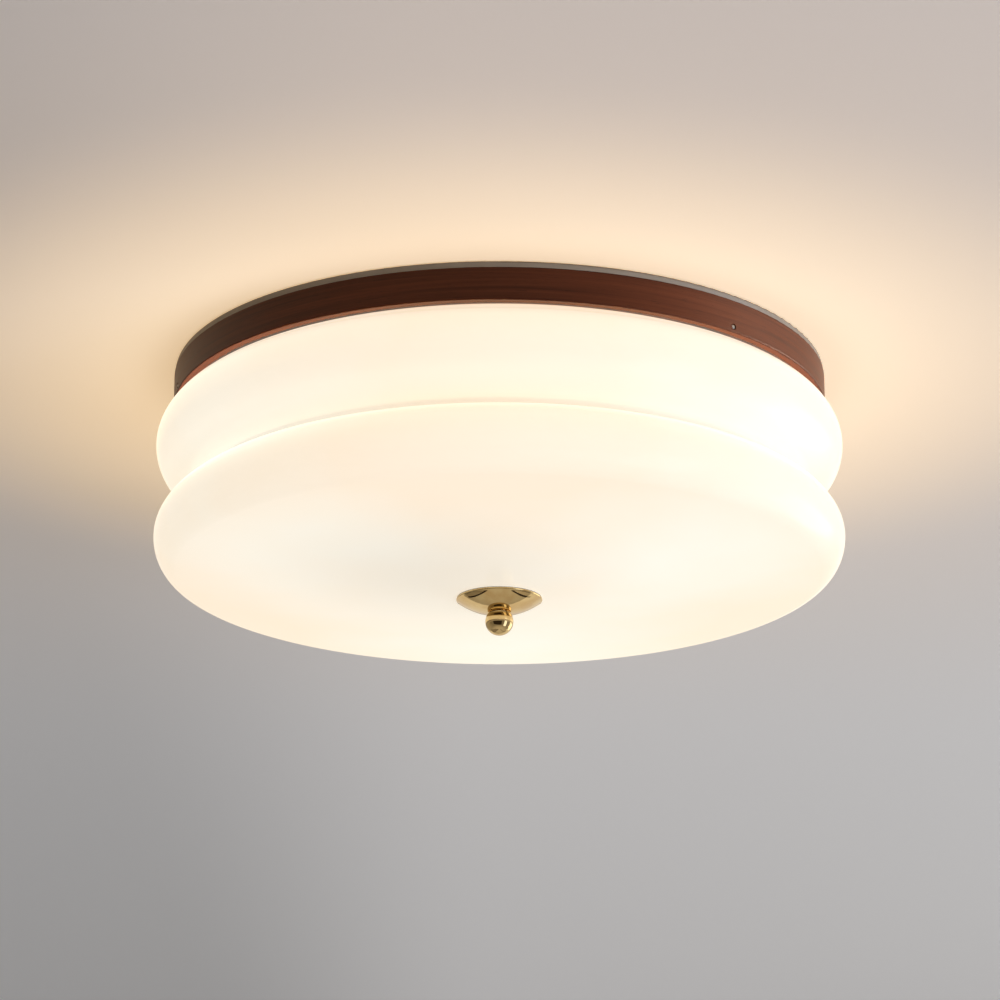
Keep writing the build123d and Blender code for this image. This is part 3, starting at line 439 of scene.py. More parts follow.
# Powder coat sprayed on steel and baked: a soft grey sheen with faint orange peel
PAN_ENAMEL = CoatedSurface("steel_powder_coated_grey", "#90826F", "#897B69", (0.38, 0.5), 1.4, 0.03)
# Cast silicone: milky and matt, with a dry bloom
SILICONE = CoatedSurface("silicone_cast", "#D9D8D3", "#CDCCC6", (0.5, 0.65), 1.0, 0.02, 1.41)
# Moulded rubber: near black and matt
BLACK_RUBBER = CoatedSurface("rubber_moulded_black", "#1D1C1B", "#151514", (0.6, 0.75), 0.8, 0.03)
# Slip-cast porcelain under a clear glaze: white, wet gloss, slightly wavy
PORCELAIN = CoatedSurface("porcelain_glazed", "#EDEAE2", "#E3DFD5", (0.08, 0.16), 6.0, 0.06, 1.5, 0.6)
# Moulded housing of a bulb: white, fine spark-eroded texture
BULB_PLASTIC = CoatedSurface(
    "polycarbonate_moulded_white", "#E8E6E1", "#DEDCD6", (0.38, 0.48), 0.7, 0.03, 1.58
)
# Bulb diffuser, blown opal plastic that is lit: warm white with soft falloff
BULB_DIFFUSER = CoatedSurface(
    "polycarbonate_blown_opal", "#F5F1E8", "#EFE9DC", (0.3, 0.4), 5.0, 0.02, 1.58, 0.0, "#FFE2B0", 1.6
)
# Glass-filled foot insulator: black and half-matt
BULB_FOOT = CoatedSurface("glass_insulator_black", "#211F1E", "#191817", (0.2, 0.35), 1.0, 0.02)
# Terminal block moulded in natural polyamide: cream, slightly waxy
TERMINAL_PLASTIC = CoatedSurface(
    "polyamide_moulded_cream", "#DED9CB", "#D3CDBD", (0.35, 0.48), 0.8, 0.02, 1.53
)
# Insulation of the leads, extruded PVC: brown for live and blue for neutral, with a dull waxy sheen
LIVE_SLEEVE = CoatedSurface("pvc_extruded_brown", "#6A442C", "#5C3A25", (0.34, 0.46), 0.8, 0.02, 1.53)
NEUTRAL_SLEEVE = CoatedSurface("pvc_extruded_blue", "#3E6FA6", "#356296", (0.34, 0.46), 0.8, 0.02, 1.53)
# Zinc plate with clear passivation on steel: bluish grey with cloudy yellow hints
ZINC_STEEL = PlatedMetal("steel_zinc_plated", "zinc_plated_steel", "#C9CBCC", "#B9B8B0", (0.24, 0.42))
# Nickel plate on drawn brass: bright and a little warm
NICKEL = PlatedMetal("brass_nickel_plated", "nickel_plate", "#D2CEC6", "#C3BDB2", (0.14, 0.28))
# Rolled brass strip, unpolished
CONTACT_BRASS = PlatedMetal("brass_rolled", "contact_brass", "#CFA964", "#B98F4C", (0.22, 0.4))
WALNUT = OiledWalnut()
BRASS = PolishedBrass()


def arc(centre: Point, radii: Point, start: float, end: float, steps: int) -> Outline:
    """Points along an elliptical arc from one parameter angle to another, in degrees and even steps."""
    angles = [math.radians(start + (end - start) * n / steps) for n in range(steps + 1)]
    return [(centre[0] + radii[0] * math.cos(a), centre[1] + radii[1] * math.sin(a)) for a in angles]


def curve(start: Point, first: Point, second: Point, end: Point, steps: int) -> Outline:
    """Points along a cubic curve between two ends and two handles, ends left out.

    Args:
        start: Where the curve begins.
        first: Handle at the beginning.
        second: Handle at the end.
        end: Where the curve ends.
        steps: Number of spans.

    Returns:
        The points inside the curve.
    """
    points = []
    for n in range(1, steps):
        t = n / steps
        shares = ((1 - t) ** 3, 3 * t * (1 - t) ** 2, 3 * t**2 * (1 - t), t**3)
        ends = (start, first, second, end)
        points.append(tuple(sum(s * p[k] for s, p in zip(shares, ends)) for k in (0, 1)))
    return points


def polar(radius: float, angle: float, level: float) -> Vector:
    """Point at a radius, an angle in radians and a level round the z axis."""
    return Vector((radius * math.cos(angle), radius * math.sin(angle), level))


def turns(count: int) -> list[float]:
    """Angles in radians that share out a full turn."""
    return [2 * math.pi * n / count for n in range(count)]


def bands(rings: Sequence[Sequence[int]], closed: bool) -> list[list[int]]:
    """Faces between neighbouring rings of vertices.

    Args:
        rings: Vertex numbers round each ring; a tip is one number repeated.
        closed: Whether the last ring joins the first.

    Returns:
        The vertex numbers of each face.
    """
    faces = []
    for one, two in zip(rings, [*rings[1:], rings[0]] if closed else rings[1:]):
        for n in range(len(one)):
            m = (n + 1) % len(one)
            corners = list(dict.fromkeys((one[n], one[m], two[m], two[n])))
            if len(corners) > 2:
                faces.append(corners)
    return faces


def shaped(name: str, points: Sequence[Sequence[float]], faces: Sequence[Sequence[int]]) -> Piece:
    """Make a smooth mesh object from points in metres and faces, with sharp edges kept sharp.

    Args:
        name: Name of the piece.
        points: Vertex places.
        faces: Vertex numbers of each face.

    Returns:
        The new object, in the scene.
    """
    mesh = bpy.data.meshes.new(name)
    mesh.from_pydata(points, [], faces)
    mesh.validate()
    mesh.polygons.foreach_set("use_smooth", [True] * len(mesh.polygons))
    mesh.set_sharp_from_angle(angle=math.radians(SHARP_DEGREES))
    piece = bpy.data.objects.new(name, mesh)
    bpy.context.scene.collection.objects.link(piece)
    return piece


def turned(name: str, outline: Outline, segments: int, place: Matrix = Matrix()) -> Piece:
    """Turn a closed outline about the local z axis.

    Args:
        name: Name of the piece.
        outline: Radius and height of each point in millimetres, anticlockwise in the radius-height plane.
        segments: Number of spans round the axis.
        place: Where the local axes stand, in metres.

    Returns:
        The turned piece.
    """
    points: list[Vector] = []
    rings: list[Sequence[int]] = []
    for radius, level in outline:
        first = len(points)
        on_axis = radius < 1e-6
        rings.append([first] * segments if on_axis else range(first, first + segments))
        points += [polar(radius, angle, level) for angle in ([0.0] if on_axis else turns(segments))]
    return shaped(name, [place @ (p * MM) for p in points], bands(rings, True))


def skinned(name: str, rings: Sequence[Sequence[Vector]], place: Matrix, closed: bool) -> Piece:
    """Cover rings of points with faces.

    Args:
        name: Name of the piece.
        rings: Rings of as many points each, in millimetres.
        place: Where the local axes stand, in metres.
        closed: Whether the last ring joins the first; if not, both get a flat end.

    Returns:
        The covered piece.
    """
    count = len(rings[0])
    numbers = [range(n * count, (n + 1) * count) for n in range(len(rings))]
    faces = bands(numbers, closed)
    if not closed:
        faces += [numbers[0][::-1], numbers[-1]]
    return shaped(name, [place @ (p * MM) for ring in rings for p in ring], faces)


def threaded(
    name: str, radius: float, depth: float, pitch: float, span: Point,
    place: Matrix = Matrix(), bore: float = 0.0,
) -> Piece:
    """Make a round bar or sleeve with a helical thread on its outside, which fades out at both ends.

    Args:
        name: Name of the piece.
        radius: Outer radius of the thread in millimetres.
        depth: Depth of the thread.
        pitch: Rise in one turn.
        span: First and last height.
        place: Where the local axes stand.
        bore: Radius of the hole, or 0 for a solid bar.

    Returns:
        The threaded piece.
    """
    # A bulb cap shows its thread, and a screw hardly does
    around, per_turn = (64, 14) if bore else (24, 6)
    low, high = span
    rows = max(4, round((high - low) / pitch * per_turn))
    rings = []
    for row in range(rows + 1):
        level = low + (high - low) * row / rows
        fade = min(1.0, row / per_turn, (rows - row) / per_turn)
        ring = []
        for angle in turns(around):
            wave = 0.5 - 0.5 * math.cos(2 * math.pi * level / pitch - angle)
            ring.append(polar(radius - depth * (1 - fade * wave), angle, level))
        rings.append(ring)
    if bore:
        inner, outer = ([polar(bore, angle, level) for angle in turns(around)] for level in span)
        rings = [inner, *rings, outer]
    return skinned(name, rings, place, bool(bore))


def hex_nut(name: str, flats: float, bore: float, span: Point, place: Matrix = Matrix()) -> Piece:
    """Make a hexagon nut whose corners are chamfered to a cone at both ends.

    Args:
        name: Name of the piece.
        flats: Width across flats in millimetres.
        bore: Radius of the hole.
        span: Lowest and highest level.
        place: Where the local axes stand.

    Returns:
        The nut.
    """
    around, chamfer_degrees, chamfer_share = 72, 28, 0.95
    ease = chamfer_share * flats / 2
    low, high = span
    rings: list[list[Vector]] = [[] for _ in range(6)]
    for angle in turns(around):
        side = flats / 2 / math.cos(angle % (math.pi / 3) - math.pi / 6)
        drop = (side - ease) * math.tan(math.radians(chamfer_degrees))
        levels = (low, low, low + drop, high - drop, high, high)
        for ring, radius, level in zip(rings, (bore, ease, side, side, ease, bore), levels):
            ring.append(polar(radius, angle, level))
    return skinned(name, rings, place, True)


def joined(name: str, pieces: Iterable[Piece]) -> Piece:
    """Join several mesh objects into one named piece.

    Args:
        name: Name of the joined piece.
        pieces: Objects to join; they are removed.

    Returns:
        The joined piece.
    """
    points, faces = [], []
    for piece in pieces:
        first = len(points)
        points += [v.co.copy() for v in piece.data.vertices]
        faces += [[first + v for v in polygon.vertices] for polygon in piece.data.polygons]
        bpy.data.objects.remove(piece)
    return shaped(name, points, faces)


def install(piece: Piece, body: str, finish: Finish, *nodes: str) -> None:
    """Dress a piece, set it on its body and let it stand for its CAD nodes.

    Args:
        piece: Finished piece.
        body: Body that it rides on.
        finish: Finish that it gets.
        nodes: CAD nodes that it replaces.
    """
    finish.cover(piece)
    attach(piece, body)
    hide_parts(*nodes)
    LOG.info("%s rides on %s in %s", piece.name, body, finish.title)


def dress(finish: Finish, *nodes: str) -> None:
    """Give CAD nodes that stay visible their finish.

    Args:
        finish: Finish that they get.
        nodes: Names of the nodes.
    """
    for name in nodes:
        finish.cover(frame["nodes"][name])
        LOG.info("%s is dressed in %s", name, finish.title)


def outward(azimuth: float, distance: float, level: float) -> Matrix:
    """Local axes with z pointing outwards at an azimuth in degrees, and the other sizes in millimetres.

    Args:
        azimuth: Direction in plan.
        distance: Distance from the light's axis.
        level: Height of the origin.

    Returns:
        The matrix of those axes, in metres.
    """
    out, up = polar(1, math.radians(azimuth), 0), Vector((0, 0, 1))
    axes = Matrix((up, out.cross(up), out)).transposed().to_4x4()
    return Matrix.Translation((out * distance + up * level) * MM) @ axes


def at(x: float, y: float, level: float, down: bool = False) -> Matrix:
    """Upright axes at a point in millimetres, turned over where the piece faces down."""
    flip = Matrix.Rotation(math.pi, 4, "X") if down else Matrix()
    return Matrix.Translation(Vector((x, y, level)) * MM) @ flip


def around_axis(azimuth: float, distance: float, level: float, down: bool = False) -> Matrix:
    """Upright axes at a distance from the light's axis, turned with the azimuth in degrees."""
    return Matrix.Rotation(math.radians(azimuth), 4, "Z") @ at(distance, 0.0, level, down)


@dataclass(frozen=True)
class Screw:
    """A machine screw with a domed head, a rolled thread and a driver recess."""

    head_radius: float
    head_height: float
    shank_radius: float
    shank_length: float
    drive: Drive = Drive.CROSS
    crown: float = 0.55
    thread_depth: float = 0.25
    thread_pitch: float = 0.7
    edge: float = 0.1
    overlap: float = 0.05
    # Shares of the head's radius, and of its lesser size for the depth
    slot_width: float = 0.28
    slot_reach: float = 0.66
    slot_depth: float = 0.55
    # Turn of the slots, in radians
    slot_turn: float = 0.6

    def recess(self, head: Piece, place: Matrix) -> None:
        """Cut the driver's slots into the head, which faces along the local z axis, from level 0 down.

        Args:
            head: Head to cut.
            place: Local axes at the top of the head.
        """
        reach, width = self.slot_reach * self.head_radius, self.slot_width * self.head_radius
        depth, over = self.slot_depth * min(self.head_height, self.head_radius), 1.0
        corners = [(-reach, -width / 2), (reach, -width / 2), (reach, width / 2), (-reach, width / 2)]
        for n in range(self.drive.value):
            spin = place @ Matrix.Rotation(math.pi / 2 * n + self.slot_turn, 4, "Z")
            rings = [[Vector((x, y, z)) for x, y in corners] for z in (-depth, over)]
            cutter = skinned("driver_cut", rings, spin, False)
            cut = head.modifiers.new("recess", "BOOLEAN")
            cut.operation, cut.object, cut.solver = "DIFFERENCE", cutter, "EXACT"
            made = bpy.data.meshes.new_from_object(head.evaluated_get(bpy.context.evaluated_depsgraph_get()))
            head.modifiers.clear()
            head.data = made
            bpy.data.objects.remove(cutter)

    def build(self, name: str, place: Matrix) -> Piece:
        """Turn the head below local level 0, cut its recess and add the threaded shank.

        Args:
            name: Name of the piece.
            place: Local axes at the top of the head, with z towards the driver.

        Returns:
            The screw.
        """
        radius, height = self.head_radius, self.head_height
        crown = arc((0, -self.crown * height), (radius, self.crown * height), 0, 90, 10)
        under = [(0.0, -height), (radius - self.edge, -height), (radius, self.edge - height)]
        pieces = [turned(name, under + crown, 40, place)]
        self.recess(pieces[0], place)
        if self.shank_length:
            span = (-height - self.shank_length, self.overlap - height)
            thread = (self.shank_radius, self.thread_depth, self.thread_pitch, span)
            pieces.append(threaded(name, *thread, place))
        return joined(name, pieces)


@dataclass
class GlassShade:
    """The blown shade and the silicone seals at its rim and its foot."""

    wall: float = 3.0
    rim: float = -4.0
    neck: float = 180.0
    upper_radius: float = 209.9
    upper_level: float = -49.1
    upper_swell: float = 35.6
    upper_half_height: float = 30.2
    shoulder_half_height: float = 29.3
    groove: float = 184.5
    lower_radius: float = 210.1
    lower_level: float = -107.3
    lower_swell: float = 40.9
    lower_half_height: float = 28.5
    foot_width: float = 16.3
    foot_height: float = 20.6
    dome_slope: float = 8.2
    flat: float = 30.0
    hole: float = 7.0
    ease: float = 1.6
    groove_ease: float = 0.4

    def skin(self, inset: float) -> Outline:
        """Trace one skin of the glass from the rim down to the hole.

        Args:
            inset: Distance inside the outer skin.

        Returns:
            The points of that skin.
        """
        neck, groove = self.neck - inset, self.groove - inset
        upper = (self.upper_radius - self.upper_swell, self.upper_level)
        lower = (self.lower_radius - self.lower_swell, self.lower_level)
        foot = (self.lower_radius - self.foot_width, self.lower_level)
        upper_radii = (self.upper_swell - inset, self.upper_half_height - inset)
        shoulder_radii = (self.upper_swell - inset, self.shoulder_half_height - inset)
        lower_radii = (self.lower_swell - inset, self.lower_half_height - inset)
        foot_radii = (self.foot_width - inset, self.foot_height - inset)

        def angle(radius: float, centre: Point, radii: Point) -> float:
            """Parameter angle at which an ellipse passes a radius."""
            return math.degrees(math.acos((radius - centre[0]) / radii[0]))

        slope = math.radians(self.dome_slope)
        foot_angle = math.degrees(math.atan(self.foot_height / (self.foot_width * math.tan(slope))))
        edge = arc(foot, (self.foot_width, self.foot_height), -foot_angle, -foot_angle, 1)[0]
        dome = edge[0] / math.sin(slope)
        dome_centre = edge[1] + dome * math.cos(slope)
        flat_angle = math.degrees(math.asin(self.flat / (dome - inset)))

        first = arc(upper, shoulder_radii, angle(neck + self.ease, upper, shoulder_radii), 0, 28)
        first += arc(upper, upper_radii, 0, -angle(groove + self.ease / 2, upper, upper_radii), 28)[1:]
        second = arc(lower, lower_radii, angle(groove + self.ease / 2, lower, lower_radii), 0, 40)
        third = arc(foot, foot_radii, 0, -foot_angle, 20)[1:]
        fourth = arc((0, dome_centre), (dome - inset,) * 2, self.dome_slope - 90, flat_angle - 90, 28)[1:]
        neck_foot = upper[1] + shoulder_radii[1] * math.sin(math.radians(angle(neck, upper, shoulder_radii)))
        shoulder = [(neck, neck_foot + self.ease)]
        shoulder += curve(shoulder[0], (neck, neck_foot), (neck, neck_foot), first[0], 6)
        valley_top = (groove, first[-1][1] - self.groove_ease)
        valley_low = (groove, second[0][1] + self.groove_ease)
        valley = curve(first[-1], valley_top, valley_low, second[0], 8)
        flat_level = fourth[-1][1]
        return shoulder + first + valley + second + third + fourth + [(self.hole, flat_level)]

    def build(self) -> Piece:
        """Turn the whole section of the glass, with a fire-polished rim.

        Returns:
            The shade.
        """
        outer, inner = self.skin(0.0), self.skin(self.wall)
        middle = self.neck - self.wall / 2
        rim = arc((middle, self.rim - self.wall / 2), (self.wall / 2,) * 2, 180, 0, 10)
        section = rim + outer + inner[::-1]
        return turned("glass_shade", section[::-1], 256)

    def dress(self, lamps: Sequence[Vector]) -> None:
        """Build the shade and dress it with its seals.

        Args:
            lamps: Middle of each lamp's globe, in metres.
        """
        glass = OpalGlass(lamps=tuple(tuple(p) for p in lamps))
        install(self.build(), Body.SHADE.value, glass, "opal_glass_shade")
        dress(SILICONE, "rim_gasket", "shade_bush", "dish_gasket")


@dataclass
class BrassFinial:
    """The spun dish under the shade and the ball knob that holds it up."""

    dish_radius: float = 26.15
    dish_depth: float = 9.3
    dish_wall: float = 0.9
    dish_lip: float = 0.8
    seat_radius: float = 7.3
    hole: float = 4.3
    # How far before the lip the cap ends, in degrees, and the handles of the turn between them
    edge_degrees: float = 1.2
    turn_low: float = 0.25
    turn_high: float = 0.7
    knob_radius: float = 8.6
    neck_radius: float = 6.3
    neck_height: float = 0.9
    neck_step: float = 0.1
    neck_ease: float = 0.15
    centre_drop: float = 5.4
    thread_hole: float = 4.1
    thread_depth: float = 10.9
    hole_ease: float = 0.5

    def dish(self) -> Piece:
        """Turn the dish: a shallow cap with an upright lip and a flat seat.

        Returns:
            The dish.
        """

        def angle(radius: float, cap: float) -> float:
            """Angle from straight down at which a cap passes a radius, less a quarter turn."""
            return math.degrees(math.asin(radius / cap)) - 90

        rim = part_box("brass_dish")[1].z / MM
        rise = self.dish_depth - self.dish_lip
        cap = (self.dish_radius**2 + rise**2) / (2 * rise)
        inner_cap = cap - self.dish_wall
        centre = (0, rim - self.dish_depth + cap)
        edge = angle(self.dish_radius, cap) - self.edge_degrees
        inner_edge = angle(self.dish_radius - self.dish_wall, inner_cap)
        outside = arc(centre, (cap, cap), angle(self.seat_radius, cap), edge, 36)
        inside = arc(centre, (inner_cap, inner_cap), inner_edge, angle(self.seat_radius, inner_cap), 36)
        half = self.dish_wall / 2
        lip = arc((self.dish_radius - half, rim - half), (half, half), 0, 180, 8)
        low = (self.dish_radius, outside[-1][1] + self.turn_low)
        high = (self.dish_radius, rim - self.turn_high)
        turn = curve(outside[-1], low, high, lip[0], 5)
        section = [(self.hole, outside[0][1]), *outside, *turn, *lip, *inside, (self.hole, inside[-1][1])]
        return turned("brass_dish_spun", section, 160)

    def knob(self) -> Piece:
        """Turn the knob: a ball on a short neck, bored for the rod.

        Returns:
            The knob.
        """
        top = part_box("brass_knob")[1].z / MM
        centre = top - self.centre_drop
        neck_level = top - self.neck_height
        bore_end = top - self.thread_depth
        shoulder = math.degrees(math.asin((neck_level - centre) / self.knob_radius))
        section = [
            *arc((0, centre), (self.knob_radius,) * 2, -90, shoulder, 48),
            (self.neck_radius, neck_level + self.neck_step),
            (self.neck_radius, top - self.neck_ease),
            (self.neck_radius - self.neck_ease, top),
            (self.thread_hole + self.hole_ease, top),
            (self.thread_hole, top - self.hole_ease),
            (self.thread_hole, bore_end),
            (0.0, bore_end),
        ]
        return turned("brass_knob_ball", section, 96)

    def dress(self) -> None:
        """Build both pieces and dress them in buffed brass."""
        install(self.dish(), Body.DISH.value, BRASS, "brass_dish")
        install(self.knob(), Body.KNOB.value, BRASS, "brass_knob")


@dataclass
class CeilingBase:
    """Pan, walnut hoop, crossbar, rod and the fixings that stay on the ceiling."""

    floor_top: float = -12.0
    floor_under: float = -13.0
    rod_radius: float = 4.0
    rod_top: float = -5.0
    rod_pitch: float = 1.25
    rod_thread_depth: float = 0.6
    rod_nut_flats: float = 13.0
    rod_nut_height: float = 4.0
    rod_washer: float = 1.6
    nut_play: float = 0.05
    screw_radius: float = 2.0
    screw_nut_flats: float = 7.0
    stud_places: Point = (-50.0, 50.0)
    stud_head_top: float = -2.6
    cap_nut_top: float = -13.8
    cap_nut_hex: float = 3.2
    cap_nut_height: float = 8.0
    cap_nut_overlap: float = 0.1
    lamp_azimuths: Triple = (90.0, 210.0, 330.0)
    bracket_screw_distance: float = 40.0
    bracket_foot_under: float = -14.5
    bracket_nut_height: float = 3.2
    leg_inner: float = 20.5
    lamp_level: float = -62.0
    holder_screw_offset: float = 9.0
    block_centre: float = -52.0
    block_under: float = -28.0
    block_pitch: float = 11.0
    earth_azimuth: float = 150.0
    earth_distance: float = 52.0
    earth_head_level: float = -14.0
    hoop_radius: float = 200.0
    hoop_screw_azimuths: Triple = (-47.0, 73.0, 193.0)
    hoop_screw_level: float = -20.5
    ring_screw: Screw = Screw(1.15, 1.0, 1.1, 8.5, Drive.SLOT, 0.5, 0.2, 0.5)
    bracket_screw: Screw = Screw(3.8, 2.2, 2.0, 5.8)
    holder_screw: Screw = Screw(2.7, 1.8, 1.4, 9.5)
    block_screw: Screw = Screw(2.6, 1.6, 1.4, 6.0)
    clamp_screw: Screw = Screw(1.6, 5.6, 1.4, 0.0, Drive.SLOT, 0.06)
    earth_screw: Screw = Screw(4.0, 2.6, 2.0, 12.0)
    stud: Screw = Screw(4.0, 2.4, 2.0, 13.3)

    def rod(self) -> Piece:
        """Cut the thread along the whole centre rod."""
        span = (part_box("centre_rod")[0].z / MM, self.rod_top)
        return threaded("rod_threaded", self.rod_radius, self.rod_thread_depth, self.rod_pitch, span)

    def rod_nuts(self) -> Piece:
        """Make the chamfered nuts that clamp the rod to the pan's floor, above and below.

        Returns:
            Both nuts as one piece.
        """
        height, bore = self.rod_nut_height, self.rod_radius + self.nut_play
        levels = (self.floor_top + self.rod_washer, self.floor_under - self.rod_washer - height)
        nuts = [hex_nut("nut", self.rod_nut_flats, bore, (level, level + height)) for level in levels]
        return joined("rod_hex_nuts", nuts)

    def cap_nuts(self) -> Piece:
        """Make the domed nuts under the pan that hold it up on the studs.

        Returns:
            Both nuts as one piece.
        """
        radius, bore = self.screw_nut_flats / 2, self.screw_radius + self.nut_play
        foot, tip = self.cap_nut_top - self.cap_nut_hex, self.cap_nut_top - self.cap_nut_height
        inside = foot + self.cap_nut_overlap
        dome = arc((0, tip + radius), (radius, radius), -90, 0, 14) + [(radius, inside), (0, inside)]
        pieces = []
        for place in [at(x, 0, 0) for x in self.stud_places]:
            pieces.append(hex_nut("nut", self.screw_nut_flats, bore, (foot, self.cap_nut_top), place))
            pieces.append(turned("dome", dome, 48, place))
        return joined("stud_domed_nuts", pieces)

    def bracket_nuts(self) -> Piece:
        """Make the nuts on the pan's floor that hold the brackets.

        Returns:
            The three nuts as one piece.
        """
        span = (self.floor_top, self.floor_top + self.bracket_nut_height)
        bore = self.screw_radius + self.nut_play
        places = [around_axis(a, self.bracket_screw_distance, 0.0) for a in self.lamp_azimuths]
        nuts = [hex_nut("nut", self.screw_nut_flats, bore, span, place) for place in places]
        return joined("bracket_hex_nuts", nuts)

    def screws(self) -> None:
        """Make every screw with its thread and recess."""
        inward = Matrix.Rotation(math.pi, 4, "X")
        reach = self.leg_inner - self.holder_screw.head_height
        levels = [self.lamp_level + side * self.holder_screw_offset for side in (-1, 1)]
        bracket_level = self.bracket_foot_under - self.bracket_screw.head_height
        earth_level = self.earth_head_level - self.earth_screw.head_height
        block_level = self.floor_top + self.block_screw.head_height
        sets: list[tuple[str, Screw, Finish, list[Matrix]]] = [
            ("ring_screws", self.ring_screw, ZINC_STEEL,
             [outward(a, self.hoop_radius, self.hoop_screw_level) for a in self.hoop_screw_azimuths]),
            ("bracket_screws", self.bracket_screw, ZINC_STEEL,
             [around_axis(a, self.bracket_screw_distance, bracket_level, True) for a in self.lamp_azimuths]),
            ("holder_screws", self.holder_screw, ZINC_STEEL,
             [outward(a, reach, level) @ inward for a in self.lamp_azimuths for level in levels]),
            ("block_fixings", self.block_screw, ZINC_STEEL,
             [at(side * self.block_pitch / 2, self.block_centre, block_level) for side in (-1, 1)]),
            ("crossbar_studs", self.stud, ZINC_STEEL,
             [at(x, 0.0, self.stud_head_top) for x in self.stud_places]),
            ("terminal_screws", self.clamp_screw, CONTACT_BRASS,
             [at(n * self.block_pitch, self.block_centre, self.block_under, True) for n in (-1, 0, 1)]),
            ("earth_screw", self.earth_screw, CONTACT_BRASS,
             [around_axis(self.earth_azimuth, self.earth_distance, earth_level, True)]),
        ]
        for node, screw, finish, places in sets:
            piece = joined(f"{node}_driven", [screw.build(node, place) for place in places])
            install(piece, Body.BASE.value, finish, node)

    def dress(self) -> None:
        """Dress the fixed base and build its threaded pieces."""
        dress(PAN_ENAMEL, "base_pan")
        dress(WALNUT, "walnut_ring")
        dress(ZINC_STEEL, "ring_tabs", "ceiling_crossbar", "stud_washers", "rod_washers")
        dress(CONTACT_BRASS, "earth_washer")
        dress(TERMINAL_PLASTIC, "terminal_block")
        dress(BLACK_RUBBER, "cable_grommet")
        dress(LIVE_SLEEVE, "live_leads")
        dress(NEUTRAL_SLEEVE, "neutral_leads")
        fixings = {
            "centre_rod": self.rod(),
            "rod_nuts": self.rod_nuts(),
            "stud_cap_nuts": self.cap_nuts(),
            "bracket_nuts": self.bracket_nuts(),
        }
        for node, piece in fixings.items():
            install(piece, Body.BASE.value, ZINC_STEEL, node)
        self.screws()


@dataclass
class Lamp:
    """One bulb in its ceramic holder on its bracket."""

    number: int
    azimuth: float
    level: float
    globe_centre: float = 117.0
    cap_span: Point = (43.5, 64.5)
    cap_radius: float = 13.2
    cap_bore: float = 12.6
    thread_pitch: float = 3.6
    thread_depth: float = 0.5

    def middle(self) -> Vector:
        """Middle of the bulb's globe, in metres."""
        return outward(self.azimuth, self.globe_centre, self.level).translation

    def cap(self) -> Piece:
        """Roll the wide round thread into the bulb's metal cap.

        Returns:
            The cap.
        """
        name, axis = f"bulb_cap_{self.number}_rolled", outward(self.azimuth, 0.0, self.level)
        thread = (self.cap_radius, self.thread_depth, self.thread_pitch, self.cap_span)
        return threaded(name, *thread, axis, self.cap_bore)

    def dress(self) -> None:
        """Dress the holder and the bulb."""
        finishes = {
            "holder_bracket": ZINC_STEEL,
            "lamp_holder": PORCELAIN,
            "holder_sleeve": NICKEL,
            "holder_contact": CONTACT_BRASS,
            "bulb_foot": BULB_FOOT,
            "bulb_housing": BULB_PLASTIC,
            "bulb_globe": BULB_DIFFUSER,
        }
        for node, finish in finishes.items():
            dress(finish, f"{node}_{self.number}")
        install(self.cap(), f"bulb_{self.number}", NICKEL, f"bulb_cap_{self.number}")


def seen(add: Adder) -> Node:
    """Tell rays that show the surroundings from rays that light the object.

    Args:
        add: Adder for the node tree that needs to know.

    Returns:
        A node that gives 1 where the camera, a reflection or a clear surface looks.
    """
    paths = add("LightPath").outputs
    direct = add("Math", {"operation": "MAXIMUM", 0: paths["Is Camera Ray"], 1: paths["Is Glossy Ray"]})
    return add("Math", {"operation": "MAXIMUM", 0: direct, 1: paths["Is Transmission Ray"]})


@dataclass(frozen=True)
class RoomPaint(Finish):
    """Matt paint in a lit room, with the room's light and shade painted on: its colour changes with the
    distance from the lamp and across the room.
    """

    title: str
    base: str
    dullness: float
    # Distances from the light's axis where the change begins and ends, and the colour close to the axis, a
    # painted pool of the lamp's light
    span: Point
    near: str
    # Colours far away, towards the camera and behind the light, and where one gives way to the other
    far: tuple[str, str]
    # Axis along which the far colour dims in painted shade, where it is dimmest and full there, and its
    # least share
    axis: str
    slope: Triple
    behind: Point = (-0.3, 0.9)

    def tone(self, add: Adder) -> Node:
        """Work out the painted light and shade of the room on the paint.

        Args:
            add: Adder for the node tree that takes the colour.

        Returns:
            The node that gives the colour.
        """
        place = add("TexCoord").outputs["Object"]
        axes = add("SeparateXYZ", {0: place}).outputs
        flat = add("VectorMath", {"operation": "MULTIPLY", 0: place, 1: (1, 1, 0)})
        away = add("VectorMath", {"operation": "LENGTH", 0: flat})
        # Painted pool of the lamp's light near the axis
        share = add("MapRange", SMOOTH | {0: away, 1: self.span[0], 2: self.span[1]})
        back = add("MapRange", SMOOTH | {0: axes["Y"], 1: self.behind[0], 2: self.behind[1]})
        front_far, back_far = (linear(colour) for colour in self.far)
        tone = add("Mix", {"data_type": "RGBA", 0: back, 6: front_far, 7: back_far})
        # Painted shade across the room
        dimmest, full, least = self.slope
        dim = add("MapRange", SMOOTH | {0: axes[self.axis], 1: dimmest, 2: full, 3: least})
        dimmed = add("VectorMath", {"operation": "SCALE", 0: tone, "Scale": dim})
        return add("Mix", {"data_type": "RGBA", 0: share, 6: linear(self.near), 7: dimmed})


